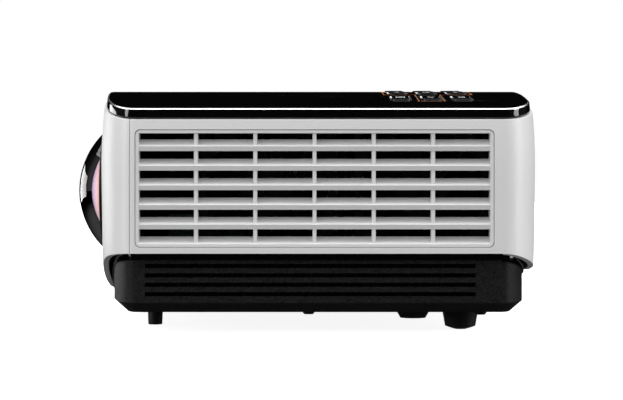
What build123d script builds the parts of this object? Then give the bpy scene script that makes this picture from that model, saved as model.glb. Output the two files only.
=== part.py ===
from build123d import *
from math import asin, cos, sin, sqrt
import os

# A short-throw projector with a tray disc drive in its base. Millimetres, +Z up.
# X runs from the lens (-X) to the sockets (+X), Y from the exhaust side (-Y) to the tray
# side (+Y), and Z = 0 is the surface that the feet stand on.

# ---- Body outline ----
half_width = 143.5          # half size of the white shell along Y
front_apex = -94.4          # front face on the centre line
front_bow = 6.8             # how far the front falls back from its apex to its corners
front_corner = (20.6, 42.0)  # corner length along X and along Y
rear_apex = 117.0
rear_bow = 2.5
rear_corner = (18.0, 29.0)
corner_pull = 0.53          # roundness of the corners, as a share of their lengths
underside = 10.0            # underside of the base
crown_top = 116.8           # highest point of the top cover
crown_rise = 16.0           # how far the cover's crown falls to the long sides
crown_radius = (half_width**2 + crown_rise**2) / (2 * crown_rise)
# Barrel of the walls: share of the body's height, and inset from the widest outline
barrel = ((0.0, 6.5), (0.13, 1.4), (0.33, 0.35), (0.56, 0.0), (0.84, 1.0), (1.02, 2.4))
side_barrel = 0.6           # share of that inset on the long sides

# ---- Shell, cover, trim and base ----
shell_wall = 2.6
seam_x = -69.7              # seam between the front bezel and the side shell
seam_gap = 0.2
side_edge = 36.5            # lower edge of the white shell along the sides
# Its height against Y at the front and at the rear
front_edge = ((half_width - 40.0, 30.3), (half_width - 100.0, 16.4), (0.0, 15.4))
rear_edge = ((half_width - 29.0, 29.5), (half_width - 86.5, 26.5), (0.0, 25.5))
band_height = 4.4           # glossy band at the rim of the top cover
band_gap = 0.3              # shadow gap between the band and the white shell
cover_inset = 1.0
cover_wall = 2.5
cover_rounding = 0.7        # of the band's lower edge, over the shadow gap
lip_wall = 2.0              # tongue of the cover inside the shell
lip_depth = 2.2
fit = 0.3                   # clearance between neighbouring mouldings
trim_height = 2.8
trim_wall = 3.2
trim_insets = (1.6, 5.2)    # inset on the sides and at the ends
base_insets = (2.5, 6.0)
base_wall = 2.5
base_floor = 2.5
base_chamfer = (4.5, 5.5)   # height and depth of the bevel under the base

# ---- Grilles and side slots ----
grille_x = (-67.1, 92.4)
grille_z = (39.5, 91.5)
grille_corner = 2.3
grille_setback = 0.45       # the grille's face behind the widest outline
grille_gap = 0.25           # round the grille, in its window
frame_border = (1.5, 1.3)   # at the ends, and along the top
louvre_pitch = 8.71
louvre_count = 6
louvre_face = 2.1           # height of each louvre's front face
louvre_lean = 0.6           # how far that face leans back to its lower edge
louvre_rise = 3.3           # height of its sloping top
louvre_depth = 6.5
louvre_wall = 1.4
first_nose = 84.3           # top edge of the highest louvre's face
mullion_first = -40.2
mullion_pitch = 26.42
mullion_count = 5
mullion_width = 1.7
mullion_setback = 0.8
flange_border = 3.0         # hidden flange that clips behind the wall
flange_wall = 1.2
flange_setback = 3.2
slot_x = (-63.1, 84.6)
slot_tops = 31.9
slot_pitch = 4.2
slot_height = 1.9
slot_count = 4
slot_rib_count = 9
slot_rib_width = 1.2
cut_past = 1.0              # how far a cut runs past the face that it opens

# ---- Feet and ceiling-mount bosses ----
front_foot = (-64.7, half_width - 66.6)  # place on the underside
front_foot_radii = (3.4, 3.8)
rear_foot = (81.1, half_width - 39.7)
rear_foot_radii = (7.1, 8.6)
foot_dome = 1.5
foot_flat = 2.6             # radius of the flat that stands on the surface
sole_curve = 34.4           # radius of the dome round that flat, in section
foot_play = 0.3
foot_screw_radius = 3.0
foot_screw_length = 12.0
foot_boss_radius = 6.0
foot_boss_height = 11.5
mount_rear = (58.0, half_width - 25.5)
mount_front = (-42.0, half_width - 65.5)
mount_radii = (8.0, 5.8)
mount_height = 3.7
mount_thread_radius = 2.0   # M4
mount_depth = 5.4

# ---- Metal deck over the base, and its posts ----
deck_z = 34.2               # upper face of the deck
deck_wall = 1.2
deck_x = (-63.0, 102.0)
deck_y = half_width - 9.5
post_radius = 4.0
post_inset = 8.0            # board posts, in from the board's edges
deck_corner = 8.0
post_y = half_width - 18.5
post_places = (
    (-59.0, -post_y), (-57.0, -20.0), (-62.5, post_y), (94.0, -post_y),
    (94.0, -10.0), (95.0, 60.0), (87.0, post_y),
)

# ---- Lens ----
lens_y = 30.0
lens_z = 65.7
lens_apex = -117.0
dome_radius = 44.3
glass_radius = 34.0
glass_wall = 6.0
glass_edge = 4.0            # straight rim of the glass
barrel_radius = 35.8
barrel_wall = 4.6
barrel_step_x = -63.0       # where the wide front part ends
barrel_neck_x = -47.0
neck_radius = 22.0
neck_flange_radius = 27.0
neck_flange = 3.0
retainer_radius = 38.5
retainer_length = 4.5
retainer_bevel = 0.8
ring_radius = 40.3
ring_length = 9.0
ring_play = 0.3
knurl_count = 24
knurl_height = 0.6
knurl_width = 2.4
lens_hole_play = 0.8

# ---- Light engine, colour wheel, lamp ----
engine_x = (-20.0, 33.0)
engine_y = (2.0, 64.0)
engine_z = (38.0, 94.0)
engine_ribs = 4
engine_leg_inset = 7.0
chip_board_wall = 1.6
chip_board_x = (-15.0, 29.0)
chip_board_z = (40.0, 90.0)
sink_fins = 9
sink_fin_wall = 1.4
sink_depth = 17.0
sink_base = 3.0
sink_x = (-11.0, 25.0)
sink_z = (44.0, 86.0)
wheel_y = 38.0
wheel_radius = 22.0
wheel_wall = 1.0
wheel_hub_radius = 8.0
wheel_hub_wall = 2.2
wheel_motor_radius = 7.5
wheel_motor_length = 5.5
wheel_shaft_radius = 1.5
shaft_end = 1.0             # length of the shaft past the wheel
shaft_play = 0.05
lamp_x = (43.0, 89.0)
lamp_y = (-6.0, 46.0)
lamp_z = 86.0
lamp_mouth_radius = 19.0
lamp_mouth_depth = 2.5
lamp_grip = (30.0, 8.0, 6.0)
# ---- Fans ----
fan_size = 60.0
fan_depth = 15.0
fan_corner = 4.0
fan_bore_radius = fan_size / 2 - 2.0
fan_hole_pitch = fan_size - 10.0
fan_hole_radius = 2.2
fan_space = 10.0            # between the two fans
fan_middle = 26.0
fan_centres = (fan_middle - (fan_size + fan_space) / 2, fan_middle + (fan_size + fan_space) / 2)
fan_gap = 1.55              # behind the exhaust grille
fan_y = -(half_width - grille_setback - louvre_depth - fan_gap)  # outer face of the fans
fan_hub_radius = fan_size / 5
fan_rotor_radius = fan_bore_radius - 1.0
fan_blade_chord = 11.0
fan_blade_root = 1.0        # length of a blade inside the hub
fan_rotor_recess = 1.0
fan_blades = 7
fan_blade_wall = 1.2
fan_blade_pitch = 35.0      # blade angle in degrees
fan_spider_wall = 3.0
fan_arm_width = 3.0
fan_play = 0.4
fan_shaft_radius = 1.5

# ---- Lamp ballast and power supply ----
# Coils are share of the board's length and width, then width, depth and height. Cans are
# the same shares, then radius and height.
ballast_x = (-59.0, -15.0)
ballast_from_fans = 10.0
ballast_length = 76.0
ballast_coils = ((0.32, 0.24, 22.0, 24.0, 18.0), (0.73, 0.79, 16.0, 20.0, 15.0))
ballast_cans = ((0.77, 0.26, 7.0, 22.0), (0.27, 0.76, 6.0, 16.0), (0.27, 0.55, 6.0, 16.0))
supply_x = (-49.0, 67.0)
supply_from_side = 17.5
supply_from_drive = 20.0
supply_z = 17.0
supply_coils = (
    (0.24, 0.59, 30.0, 26.0, 13.0), (0.62, 0.59, 34.0, 30.0, 13.5), (0.83, 0.2, 8.0, 30.0, 13.0),
)
supply_cans = (
    (0.24, 0.25, 9.0, 13.0), (0.45, 0.25, 9.0, 13.0), (0.62, 0.82, 5.0, 12.0), (0.38, 0.82, 5.0, 12.0),
)

# ---- Rear panel and its sockets ----
board_face = 98.6           # face of the main board that carries the sockets
board_wall = 1.6
board_y = 104.0
board_z = 92.0
panel_y = 100.0             # half size of the panel's window
panel_z = (40.0, 90.0)
panel_corner = 3.0
panel_face = 110.7
panel_wall = 2.0
panel_rim = 1.6
panel_setback = 2.2         # rim's edge behind the rear apex
panel_play = 0.2
socket_play = 0.2
upper_row = 76.5
lower_row = 52.5
mains_y = -78.0
mains_size = (27.4, 20.0)
mains_cavity = (24.0, 16.4)
mains_depth = 11.0
mains_pin = (2.0, 3.6, 2.5)   # width, height, setback
mains_pins = ((-7.0, -1.8), (0.0, 1.8), (7.0, -1.8))
dsub_places = ((-38.0, upper_row), (0.0, upper_row), (-38.0, lower_row))
dsub_size = (30.8, 12.4)
dsub_shell = (16.4, 8.0)
dsub_post_radius = 2.4
dsub_post_offset = 12.5
dsub_proud = 5.0
dsub_angle = 80.0
hdmi_y = -2.0
hdmi_size = (15.4, 7.0)
hdmi_cavity = (13.9, 5.4)
hdmi_tongue = (10.4, 0.9)
lan_y = 26.0
lan_size = (16.0, 13.6)
lan_cavity = (11.8, 7.6)
usb_y = 48.0
usb_size = (12.2, 11.0)
usb_cavity = (8.5, 7.8)
usb_tongue = (5.6, 3.2)
phono_ys = (38.0, 56.0, 74.0)
phono_radius = 4.15
phono_bore = 1.7
phono_pad = 12.0
phono_proud = 5.0
jack_ys = (66.0, 82.0)
jack_radius = 4.6
jack_bore = 1.8
cavity_depth = 9.0
tongue_setback = 1.0
socket_proud = 0.8          # how far sockets stand out of the panel
ir_rear_y = 90.0
ir_size = (12.0, 8.0)
ir_front = (-48.0, 86.0)

# ---- Keypad ----
key_columns = (52.9, 67.2, 81.5)
key_row_pitch = 32.5
key_rows = [row * key_row_pitch + 37.0 - half_width for row in range(3)]
key_size = (8.0, 18.0)
key_corner = 1.2
key_proud = 0.5
key_play = 0.35
key_flange = 0.9            # how far the hidden flange reaches past the cap
key_flange_wall = 1.0
key_travel = 0.4
key_board_gap = 0.2         # left under a pressed key
key_names = (
    ("key_source", "key_down", "key_auto"),
    ("key_left", "key_enter", "key_right"),
    ("key_power", "key_up", "key_blank"),
)
pad_board_wall = 1.6
pad_board_border = 3.0
pad_leg_radius = 2.0
pad_leg_inset = 3.0
light_places = [(x, key_rows[-1] + 22.5) for x in (53.0, 65.0, 77.0)]
light_radius = 2.0

# ---- Speaker and dust filter ----
speaker_x = -45.0
speaker_radius = 20.0
speaker_depth = 18.0
speaker_flange = 3.0
speaker_z = 62.0
magnet_radius = 11.0
magnet_depth = 7.0
filter_x = (-23.0, 91.0)
filter_wall = 6.0

# ---- Disc drive ----
drive_x = (-58.0, 73.0)
drive_depth = 126.5
drive_from_side = 11.0
drive_y = (half_width - drive_from_side - drive_depth, half_width - drive_from_side)
drive_z = (12.5, 30.4)
sheet = 0.8
lid_ring_radius = 40.0
lid_ring_width = 3.0
lid_ring_height = 0.5
rail_wall = 1.6
rail_gap = 0.35
rail_height = 5.0
rail_lift = 1.0             # above the tray's lower edge
rail_setback = 1.0          # behind the chassis's mouth
rail_hold = 49.5            # length that the open rails keep in the chassis
tray_z = (15.4, 24.6)
tray_plate = 4.2
tray_front_lip = 5.0
tray_rear_lip = 4.0
tray_skirt = 2.0
disc_well_radius = 60.6
disc_well_depth = 2.0
small_well_radius = 40.6
small_well_depth = 1.0
tray_slot_width = 30.0
tray_travel = 125.0         # opens far enough to lift a disc out
tray_front_z = (15.2, 31.2)
tray_front_wall = 3.0
tray_front_gap = 0.4
motor_radius = 12.0
motor_height = 4.0
spindle_radius = 1.5
turntable_radius = 13.0
turntable_height = 1.6
disc_lift = 0.5              # disc's seat above the tray's well
tray_hole_play = 1.0
clamp_radius = 7.3
clamp_height = 2.6
traverse_wall = 1.0
sled_size = (26.0, 12.0, 4.4)
sled_start = 24.0           # sled's centre from the spindle at rest
sled_stop = 5.1             # from the pickup at the end of its travel to the well's edge
pickup_lens_radius = 3.5
pickup_lens_height = 1.6
rod_radius = 1.2
rod_spacing = 10.5
sled_arm_width = 6.0
sled_motor_radius = 2.3
sled_motor_length = 7.0
screw_radius = 1.5
screw_offset = 16.4
screw_wall = 1.6
button_size = (9.0, 3.2)
button_proud = 0.5
button_flange = 1.0
button_from_end = 16.0

os.makedirs("parts", exist_ok=True)


# ---- Shared outlines and spaces ----
def plan_section(height, inset, side_inset):
    """Plan outline of the body at a height, set in at the ends and on the sides."""
    side = half_width - side_inset
    front_y = half_width - front_corner[1]
    rear_y = half_width - rear_corner[1]
    front_x = front_apex + inset
    rear_x = rear_apex - inset
    side_start = front_apex + front_bow + front_corner[0]
    side_end = rear_apex - rear_bow - rear_corner[0]
    with BuildSketch(Plane.XY.offset(height)) as section:
        with BuildLine():
            bow = TangentArc((front_x, 0), (front_x + front_bow, -front_y), tangent=(0, -1))
            shoulder = bow @ 1
            Bezier(
                shoulder,
                shoulder + (bow % 1) * corner_pull * (side - front_y),
                (side_start - corner_pull * (side_start - shoulder.X), -side),
                (side_start, -side),
            )
            Line((side_start, -side), (side_end, -side))
            tail = TangentArc((rear_x, 0), (rear_x - rear_bow, -rear_y), tangent=(0, -1))
            heel = tail @ 1
            Bezier(
                (side_end, -side),
                (side_end + corner_pull * (heel.X - side_end), -side),
                heel + (tail % 1) * corner_pull * (side - rear_y),
                heel,
            )
            mirror(about=Plane.XZ)
        make_face()
    return section.sketch


def envelope(inset):
    """Barrel-shaped body of the shell, set in from its outer skin."""
    with BuildPart() as body:
        rows = [(underside + share * (crown_top - underside), depth) for share, depth in barrel]
        loft([plan_section(z, depth + inset, side_barrel * depth + inset) for z, depth in rows])
    return body.part


def upright_body(insets, low, high):
    """Body with upright walls between two heights, for the base and its trim."""
    side_inset, end_inset = insets
    with BuildPart() as body:
        extrude(plan_section(low, end_inset, side_inset), amount=high - low)
    return body.part


def crown_z(y, drop=0):
    """Height of the crown, or of a skin a distance under it."""
    radius = crown_radius - drop
    return crown_top - crown_radius + sqrt(radius**2 - y**2)


far_x = 2 * rear_apex
far_y = 1.2 * half_width


def under_crown(drop):
    """Everything below a skin that lies a distance under the crown."""
    with BuildPart() as space:
        with BuildSketch(Plane.YZ.offset(-far_x)):
            with BuildLine():
                edge = crown_z(far_y, drop)
                ThreePointArc((-far_y, edge), (0, crown_top - drop), (far_y, edge))
                Polyline((far_y, edge), (far_y, -far_y), (-far_y, -far_y), (-far_y, edge))
            make_face()
        extrude(amount=2 * far_x)
    return space.part


def edge_profile(x, points, drop):
    """Area below the shell's lower edge, seen along X: flat at the sides, dipping between."""
    corner = (half_width, side_edge)
    half = [(y, z - drop) for y, z in (corner, *points[:-1])]
    middle = (0, points[-1][1] - drop)
    whole = [(-y, z) for y, z in half] + [middle] + half[::-1]
    with BuildSketch(Plane.YZ.offset(x)) as profile:
        with BuildLine():
            Spline(*whole)
            Polyline(
                whole[-1], (far_y, side_edge - drop), (far_y, -far_y), (-far_y, -far_y),
                (-far_y, side_edge - drop), whole[0],
            )
        make_face()
    return profile.sketch


side_end_x = rear_apex - rear_bow - rear_corner[0]


def below_edge(drop):
    """Everything below the shell's lower edge, lowered by a distance."""
    with BuildPart() as space:
        extrude(edge_profile(-far_x, front_edge, drop), amount=far_x + seam_x)
        with BuildSketch(Plane.YZ.offset(seam_x)):
            with Locations((0, (side_edge - drop - far_y) / 2)):
                Rectangle(2 * far_y, far_y + side_edge - drop)
        extrude(amount=side_end_x - seam_x)
        extrude(edge_profile(side_end_x, rear_edge, drop), amount=far_x - side_end_x)
    return space.part


def block(x, y, z, mode=Mode.ADD):
    """Box between two bounds along each axis."""
    with Locations((sum(x) / 2, sum(y) / 2, sum(z) / 2)):
        Box(x[1] - x[0], y[1] - y[0], z[1] - z[0], mode=mode)


def around(centre, size):
    """Low and high bound of a length about its centre."""
    return centre - size / 2, centre + size / 2


# ---- Base ----
floor_top = underside + base_floor
rear_foot_places = [(rear_foot[0], side * rear_foot[1]) for side in (-1, 1)]
front_foot_places = [(front_foot[0], side * front_foot[1]) for side in (-1, 1)]
mount_places = [(x, side * y) for x, y in (mount_rear, mount_front) for side in (-1, 1)]
base_inner = (base_insets[0] + base_wall, base_insets[1] + base_wall)
tray_front_x = (drive_x[0] + tray_front_gap, drive_x[1] - tray_front_gap)
base_side_y = half_width - base_insets[0]
supply_y = (supply_from_side - half_width, drive_y[0] - supply_from_drive)
supply_posts = [
    (x, y)
    for x in (supply_x[0] + post_inset, supply_x[1] - post_inset)
    for y in (supply_y[0] + post_inset, supply_y[1] - post_inset)
]

with BuildPart() as base_tray:
    bevel_height, bevel_depth = base_chamfer
    bevel_insets = (base_insets[0] + bevel_depth, base_insets[1] + bevel_depth)
    loft(
        [
            plan_section(underside, bevel_insets[1], bevel_insets[0]),
            plan_section(underside + bevel_height, base_insets[1], base_insets[0]),
        ],
        ruled=True,
    )
    add(upright_body(base_insets, underside + bevel_height, side_edge))
    add(below_edge(trim_height), mode=Mode.INTERSECT)
    floor_insets = (bevel_insets[0] + base_wall, bevel_insets[1] + base_wall)
    loft(
        [
            plan_section(floor_top, floor_insets[1], floor_insets[0]),
            plan_section(floor_top + bevel_height, base_inner[1], base_inner[0]),
        ],
        ruled=True,
        mode=Mode.SUBTRACT,
    )
    add(upright_body(base_inner, floor_top + bevel_height, side_edge + cut_past), mode=Mode.SUBTRACT)
    # Long side slots, bridged inside by thin ribs
    for row in range(slot_count):
        top = slot_tops - row * slot_pitch
        slot_y = (-base_side_y - cut_past, -base_side_y + base_wall + cut_past)
        block(slot_x, slot_y, (top - slot_height, top), Mode.SUBTRACT)
    rib_step = (slot_x[1] - slot_x[0]) / (slot_rib_count + 1)
    for rib in range(slot_rib_count):
        block(
            around(slot_x[0] + (rib + 1) * rib_step, slot_rib_width),
            (-base_side_y + base_wall / 2, -base_side_y + base_wall),
            (slot_tops - slot_count * slot_pitch, slot_tops),
        )
    # Opening for the tray front
    block(
        drive_x,
        (base_side_y - base_wall - bevel_depth, base_side_y + cut_past),
        (tray_front_z[0] - tray_front_gap, tray_front_z[1] + tray_front_gap),
        Mode.SUBTRACT,
    )
    # Posts for the deck, the power supply and the feet, and the ceiling-mount bosses
    with BuildSketch(Plane.XY.offset(floor_top)):
        with Locations(*post_places):
            Circle(post_radius)
    extrude(amount=deck_z - deck_wall - floor_top)
    with BuildSketch(Plane.XY.offset(floor_top)):
        with Locations(*supply_posts):
            Circle(post_radius)
    extrude(amount=supply_z - floor_top)
    with BuildSketch(Plane.XY.offset(floor_top)):
        with Locations(*rear_foot_places):
            Circle(foot_boss_radius)
    extrude(amount=foot_boss_height)
    for place in mount_places:
        with BuildSketch(Plane.XY.offset(underside)):
            with Locations(place):
                Circle(mount_radii[0])
        with BuildSketch(Plane.XY.offset(underside - mount_height)):
            with Locations(place):
                Circle(mount_radii[1])
        loft(ruled=True)
    with BuildSketch(Plane.XY.offset(underside - mount_height)):
        with Locations(*mount_places):
            Circle(mount_thread_radius)
    extrude(amount=mount_depth, mode=Mode.SUBTRACT)
    with BuildSketch(Plane.XY.offset(underside)):
        with Locations(*rear_foot_places):
            Circle(foot_screw_radius + foot_play)
    extrude(amount=foot_screw_length + foot_play, mode=Mode.SUBTRACT)
base_tray.part.label = "base_tray"
export_step(base_tray.part, "parts/base_tray.step")

with BuildPart() as lower_trim:
    trim_inner = (trim_insets[0] + trim_wall, trim_insets[1] + trim_wall)
    add(upright_body(trim_insets, 0, side_edge + cut_past))
    add(upright_body(trim_inner, 0, side_edge + cut_past), mode=Mode.SUBTRACT)
    add(below_edge(0), mode=Mode.INTERSECT)
    add(below_edge(trim_height), mode=Mode.SUBTRACT)
lower_trim.part.label = "lower_trim"
export_step(lower_trim.part, "parts/lower_trim.step")

# ---- White shell: one ring, split at the seam ----
shell_top = band_height + band_gap
grille_middle = (sum(grille_x) / 2, sum(grille_z) / 2)
grille_size = (grille_x[1] - grille_x[0], grille_z[1] - grille_z[0])
panel_middle = sum(panel_z) / 2
panel_height = panel_z[1] - panel_z[0]

with BuildPart() as shell_ring:
    add(envelope(0))
    add(envelope(shell_wall), mode=Mode.SUBTRACT)
    add(under_crown(shell_top), mode=Mode.INTERSECT)
    add(below_edge(0), mode=Mode.SUBTRACT)

with BuildPart() as side_shell:
    add(shell_ring.part)
    block((-far_x, seam_x + seam_gap / 2), (-far_y, far_y), (0, crown_top), Mode.SUBTRACT)
    # Windows for the two grilles
    for side in (-1, 1):
        with BuildSketch(Plane.XZ.offset(side * half_width)):
            with Locations(grille_middle):
                RectangleRounded(*[size + 2 * grille_gap for size in grille_size], grille_corner)
        extrude(amount=shell_wall + cut_past, both=True, mode=Mode.SUBTRACT)
    # Window for the socket panel
    with BuildSketch(Plane.YZ.offset(panel_face)):
        with Locations((0, panel_middle)):
            RectangleRounded(2 * panel_y, panel_height, panel_corner)
    extrude(amount=far_x, mode=Mode.SUBTRACT)
side_shell.part.label = "side_shell"
export_step(side_shell.part, "parts/side_shell.step")

ir_front_x = front_apex + front_bow * (ir_front[0] / (half_width - front_corner[1])) ** 2 + cover_inset

with BuildPart() as front_bezel:
    add(shell_ring.part)
    block((seam_x - seam_gap / 2, far_x), (-far_y, far_y), (0, crown_top), Mode.SUBTRACT)
    with BuildSketch(Plane.YZ.offset(-far_x)):
        with Locations((lens_y, lens_z)):
            Circle(ring_radius + lens_hole_play)
    extrude(amount=far_x + barrel_step_x, mode=Mode.SUBTRACT)
    with BuildSketch(Plane.YZ.offset(-far_x)):
        with Locations(ir_front):
            RectangleRounded(ir_size[0] + 2 * seam_gap, ir_size[1] + 2 * seam_gap, key_corner)
    extrude(amount=far_x + barrel_step_x, mode=Mode.SUBTRACT)
front_bezel.part.label = "front_bezel"
export_step(front_bezel.part, "parts/front_bezel.step")


# ---- Top cover ----
def key_plane(x, y):
    """Plane that lies on the crown at a place, with its normal pointing out."""
    height = crown_z(y)
    outward = (0, y, height - crown_top + crown_radius)
    return Plane(origin=(x, y, height), x_dir=(1, 0, 0), z_dir=outward)


key_places = [
    (name, x, y)
    for names, y in zip(key_names, key_rows)
    for name, x in zip(names, key_columns)
]
pad_drop = cover_wall + fit + key_flange_wall + key_travel + key_board_gap
pad_border = (key_size[0] / 2 + pad_board_border, key_size[1] / 2 + pad_board_border)
pad_x = (key_columns[0] - pad_border[0], key_columns[-1] + pad_border[0])
pad_y = (key_rows[0] - pad_border[1], key_rows[-1] + pad_border[1])
lip_inset = shell_wall + fit

with BuildPart() as top_cover:
    add(envelope(cover_inset))
    add(under_crown(0), mode=Mode.INTERSECT)
    add(under_crown(band_height), mode=Mode.SUBTRACT)
    band_foot = top_cover.faces().sort_by(SortBy.AREA)[-1]
    fillet(band_foot.edges(), radius=cover_rounding)
    with BuildPart(mode=Mode.PRIVATE) as hollow:
        add(envelope(cover_inset + cover_wall))
        add(under_crown(cover_wall), mode=Mode.INTERSECT)
    add(hollow.part, mode=Mode.SUBTRACT)
    with BuildPart(mode=Mode.PRIVATE) as lip:
        add(envelope(lip_inset))
        add(envelope(lip_inset + lip_wall), mode=Mode.SUBTRACT)
        add(under_crown(cover_wall), mode=Mode.INTERSECT)
        add(under_crown(band_height + lip_depth), mode=Mode.SUBTRACT)
    add(lip.part)
    for name, x, y in key_places:
        with BuildSketch(key_plane(x, y)):
            RectangleRounded(*[size + 2 * key_play for size in key_size], key_corner + key_play)
        extrude(amount=cover_wall + cut_past, both=True, mode=Mode.SUBTRACT)
    for place in light_places:
        with BuildSketch(key_plane(*place)):
            Circle(light_radius)
        extrude(amount=cover_wall + cut_past, both=True, mode=Mode.SUBTRACT)
top_cover.part.label = "top_cover"
export_step(top_cover.part, "parts/top_cover.step")

# ---- Keys, their board and the status lights ----
flange_top = cover_wall + fit
for name, x, y in key_places:
    with BuildPart() as key:
        with BuildSketch(key_plane(x, y).offset(-flange_top - key_flange_wall)):
            RectangleRounded(*key_size, key_corner)
        extrude(amount=flange_top + key_flange_wall + key_proud)
        fillet(key.faces().sort_by(Axis.Z)[-1].edges(), radius=key_proud / 3)
        with BuildSketch(key_plane(x, y).offset(-flange_top - key_flange_wall)):
            RectangleRounded(*[size + 2 * key_flange for size in key_size], key_corner + key_flange)
        extrude(amount=key_flange_wall)
    key.part.label = name
    export_step(key.part, f"parts/{name}.step")

with BuildPart() as keypad_board:
    block(pad_x, pad_y, (0, crown_top))
    add(under_crown(pad_drop), mode=Mode.INTERSECT)
    add(under_crown(pad_drop + pad_board_wall), mode=Mode.SUBTRACT)
    with BuildPart(mode=Mode.PRIVATE) as pad_legs:
        with BuildSketch(Plane.XY):
            for leg_x in (pad_x[0] + pad_leg_inset, pad_x[1] - pad_leg_inset):
                for leg_y in (sum(key_rows[:2]) / 2, sum(key_rows[1:]) / 2):
                    with Locations((leg_x, leg_y)):
                        Circle(pad_leg_radius)
        extrude(amount=crown_top)
        add(under_crown(cover_wall), mode=Mode.INTERSECT)
        add(under_crown(pad_drop + pad_board_wall / 2), mode=Mode.SUBTRACT)
    add(pad_legs.part)
keypad_board.part.label = "keypad_board"
export_step(keypad_board.part, "parts/keypad_board.step")

with BuildPart() as status_lights:
    for place in light_places:
        with BuildSketch(key_plane(*place).offset(-flange_top)):
            Circle(light_radius - shaft_play)
        extrude(amount=flange_top)
        with BuildSketch(key_plane(*place).offset(-flange_top - key_flange_wall)):
            Circle(light_radius + key_flange)
        extrude(amount=key_flange_wall)
status_lights.part.label = "status_lights"
export_step(status_lights.part, "parts/status_lights.step")


# ---- Louvred grilles ----
def louvred_grille():
    """Framed grille of sloping louvres and upright bars, for the -Y side."""
    face = half_width - grille_setback
    opening_z = (first_nose - (louvre_count - 1) * louvre_pitch, grille_z[1] - frame_border[1])
    opening_x = (grille_x[0] + frame_border[0], grille_x[1] - frame_border[0])
    with BuildPart() as grille:
        with BuildSketch(Plane.YZ.offset(opening_x[0])):
            for row in range(louvre_count):
                nose = first_nose - row * louvre_pitch
                back = nose + louvre_rise
                with BuildLine():
                    Polyline(
                        (-face, nose), (-face + louvre_depth, back),
                        (-face + louvre_depth, back - louvre_wall), (-face + louvre_lean, nose - louvre_face),
                        close=True,
                    )
                make_face()
        extrude(amount=opening_x[1] - opening_x[0])
        block(opening_x, (-face, -face + louvre_depth), (0, grille_z[0]), Mode.SUBTRACT)
        with BuildSketch(Plane.XZ.offset(face)):
            with Locations(grille_middle):
                RectangleRounded(*grille_size, grille_corner)
            with Locations((grille_middle[0], sum(opening_z) / 2)):
                Rectangle(opening_x[1] - opening_x[0], opening_z[1] - opening_z[0], mode=Mode.SUBTRACT)
        extrude(amount=-louvre_depth)
        with BuildSketch(Plane.XZ.offset(face - flange_setback)):
            with Locations(grille_middle):
                Rectangle(*[size + 2 * flange_border for size in grille_size])
                Rectangle(*[size - grille_corner for size in grille_size], mode=Mode.SUBTRACT)
        extrude(amount=-flange_wall)
        for bar in range(mullion_count):
            block(
                around(mullion_first + bar * mullion_pitch, mullion_width),
                (-face + mullion_setback, -face + louvre_depth),
                opening_z,
            )
    return grille.part


with BuildPart() as exhaust_grille:
    add(louvred_grille())
exhaust_grille.part.label = "exhaust_grille"
export_step(exhaust_grille.part, "parts/exhaust_grille.step")

with BuildPart() as intake_grille:
    mirror(exhaust_grille.part, about=Plane.XZ)
intake_grille.part.label = "intake_grille"
export_step(intake_grille.part, "parts/intake_grille.step")

grille_back = half_width - grille_setback - louvre_depth

with BuildPart() as dust_filter:
    block(filter_x, (grille_back - fit - filter_wall, grille_back - fit), grille_z)
dust_filter.part.label = "dust_filter"
export_step(dust_filter.part, "parts/dust_filter.step")

# ---- Feet ----
with BuildPart() as front_feet:
    for place in front_foot_places:
        with BuildSketch(Plane.XY):
            with Locations(place):
                Circle(front_foot_radii[0])
        with BuildSketch(Plane.XY.offset(underside)):
            with Locations(place):
                Circle(front_foot_radii[1])
        loft(ruled=True)
front_feet.part.label = "front_feet"
export_step(front_feet.part, "parts/front_feet.step")


def adjuster_foot(place):
    """Tapered foot with a domed sole, and the screw that lifts it into the base."""
    foot_top = underside - foot_play
    with BuildPart() as foot:
        with BuildSketch(Plane.XZ):
            with BuildLine():
                sole = Line((0, 0), (foot_flat, 0))
                dome = RadiusArc(sole @ 1, (rear_foot_radii[0], foot_dome), -sole_curve)
                Polyline(
                    dome @ 1, (rear_foot_radii[1], foot_top), (foot_screw_radius, foot_top),
                    (foot_screw_radius, foot_top + foot_screw_length),
                    (0, foot_top + foot_screw_length), (0, 0),
                )
            make_face()
        revolve(axis=Axis.Z)
    return foot.part.moved(Location((*place, 0)))


for name, place in zip(("rear_foot_near", "rear_foot_far"), rear_foot_places):
    with BuildPart() as rear_adjuster:
        add(adjuster_foot(place))
    rear_adjuster.part.label = name
    export_step(rear_adjuster.part, f"parts/{name}.step")

# ---- Deck over the base ----
with BuildPart() as mid_deck:
    with BuildSketch(Plane.XY.offset(deck_z - deck_wall)):
        with Locations((sum(deck_x) / 2, 0)):
            RectangleRounded(deck_x[1] - deck_x[0], 2 * deck_y, deck_corner)
        with Locations((deck_x[0], lens_y)):
            Rectangle(2 * (barrel_neck_x - deck_x[0]), 2 * barrel_radius, mode=Mode.SUBTRACT)
    extrude(amount=deck_wall)
mid_deck.part.label = "mid_deck"
export_step(mid_deck.part, "parts/mid_deck.step")

# ---- Lens: glass, retainer, focus ring and barrel ----
lens_plane = Plane(origin=(0, lens_y, lens_z), x_dir=(1, 0, 0), z_dir=(0, -1, 0))
lens_axis = Axis((0, lens_y, lens_z), (1, 0, 0))
dome_centre = lens_apex + dome_radius
dome_rim_x = dome_centre - sqrt(dome_radius**2 - glass_radius**2)
seat_x = dome_rim_x + glass_edge
bowl_radius = dome_radius - glass_wall
bowl_rim = sqrt(bowl_radius**2 - (dome_centre - seat_x) ** 2)


def dome_point(radius, rim, share):
    """Point on a lens sphere, at a share of the way from its apex to its rim."""
    angle = asin(rim / radius) * share
    return dome_centre - radius * cos(angle), radius * sin(angle)


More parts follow.
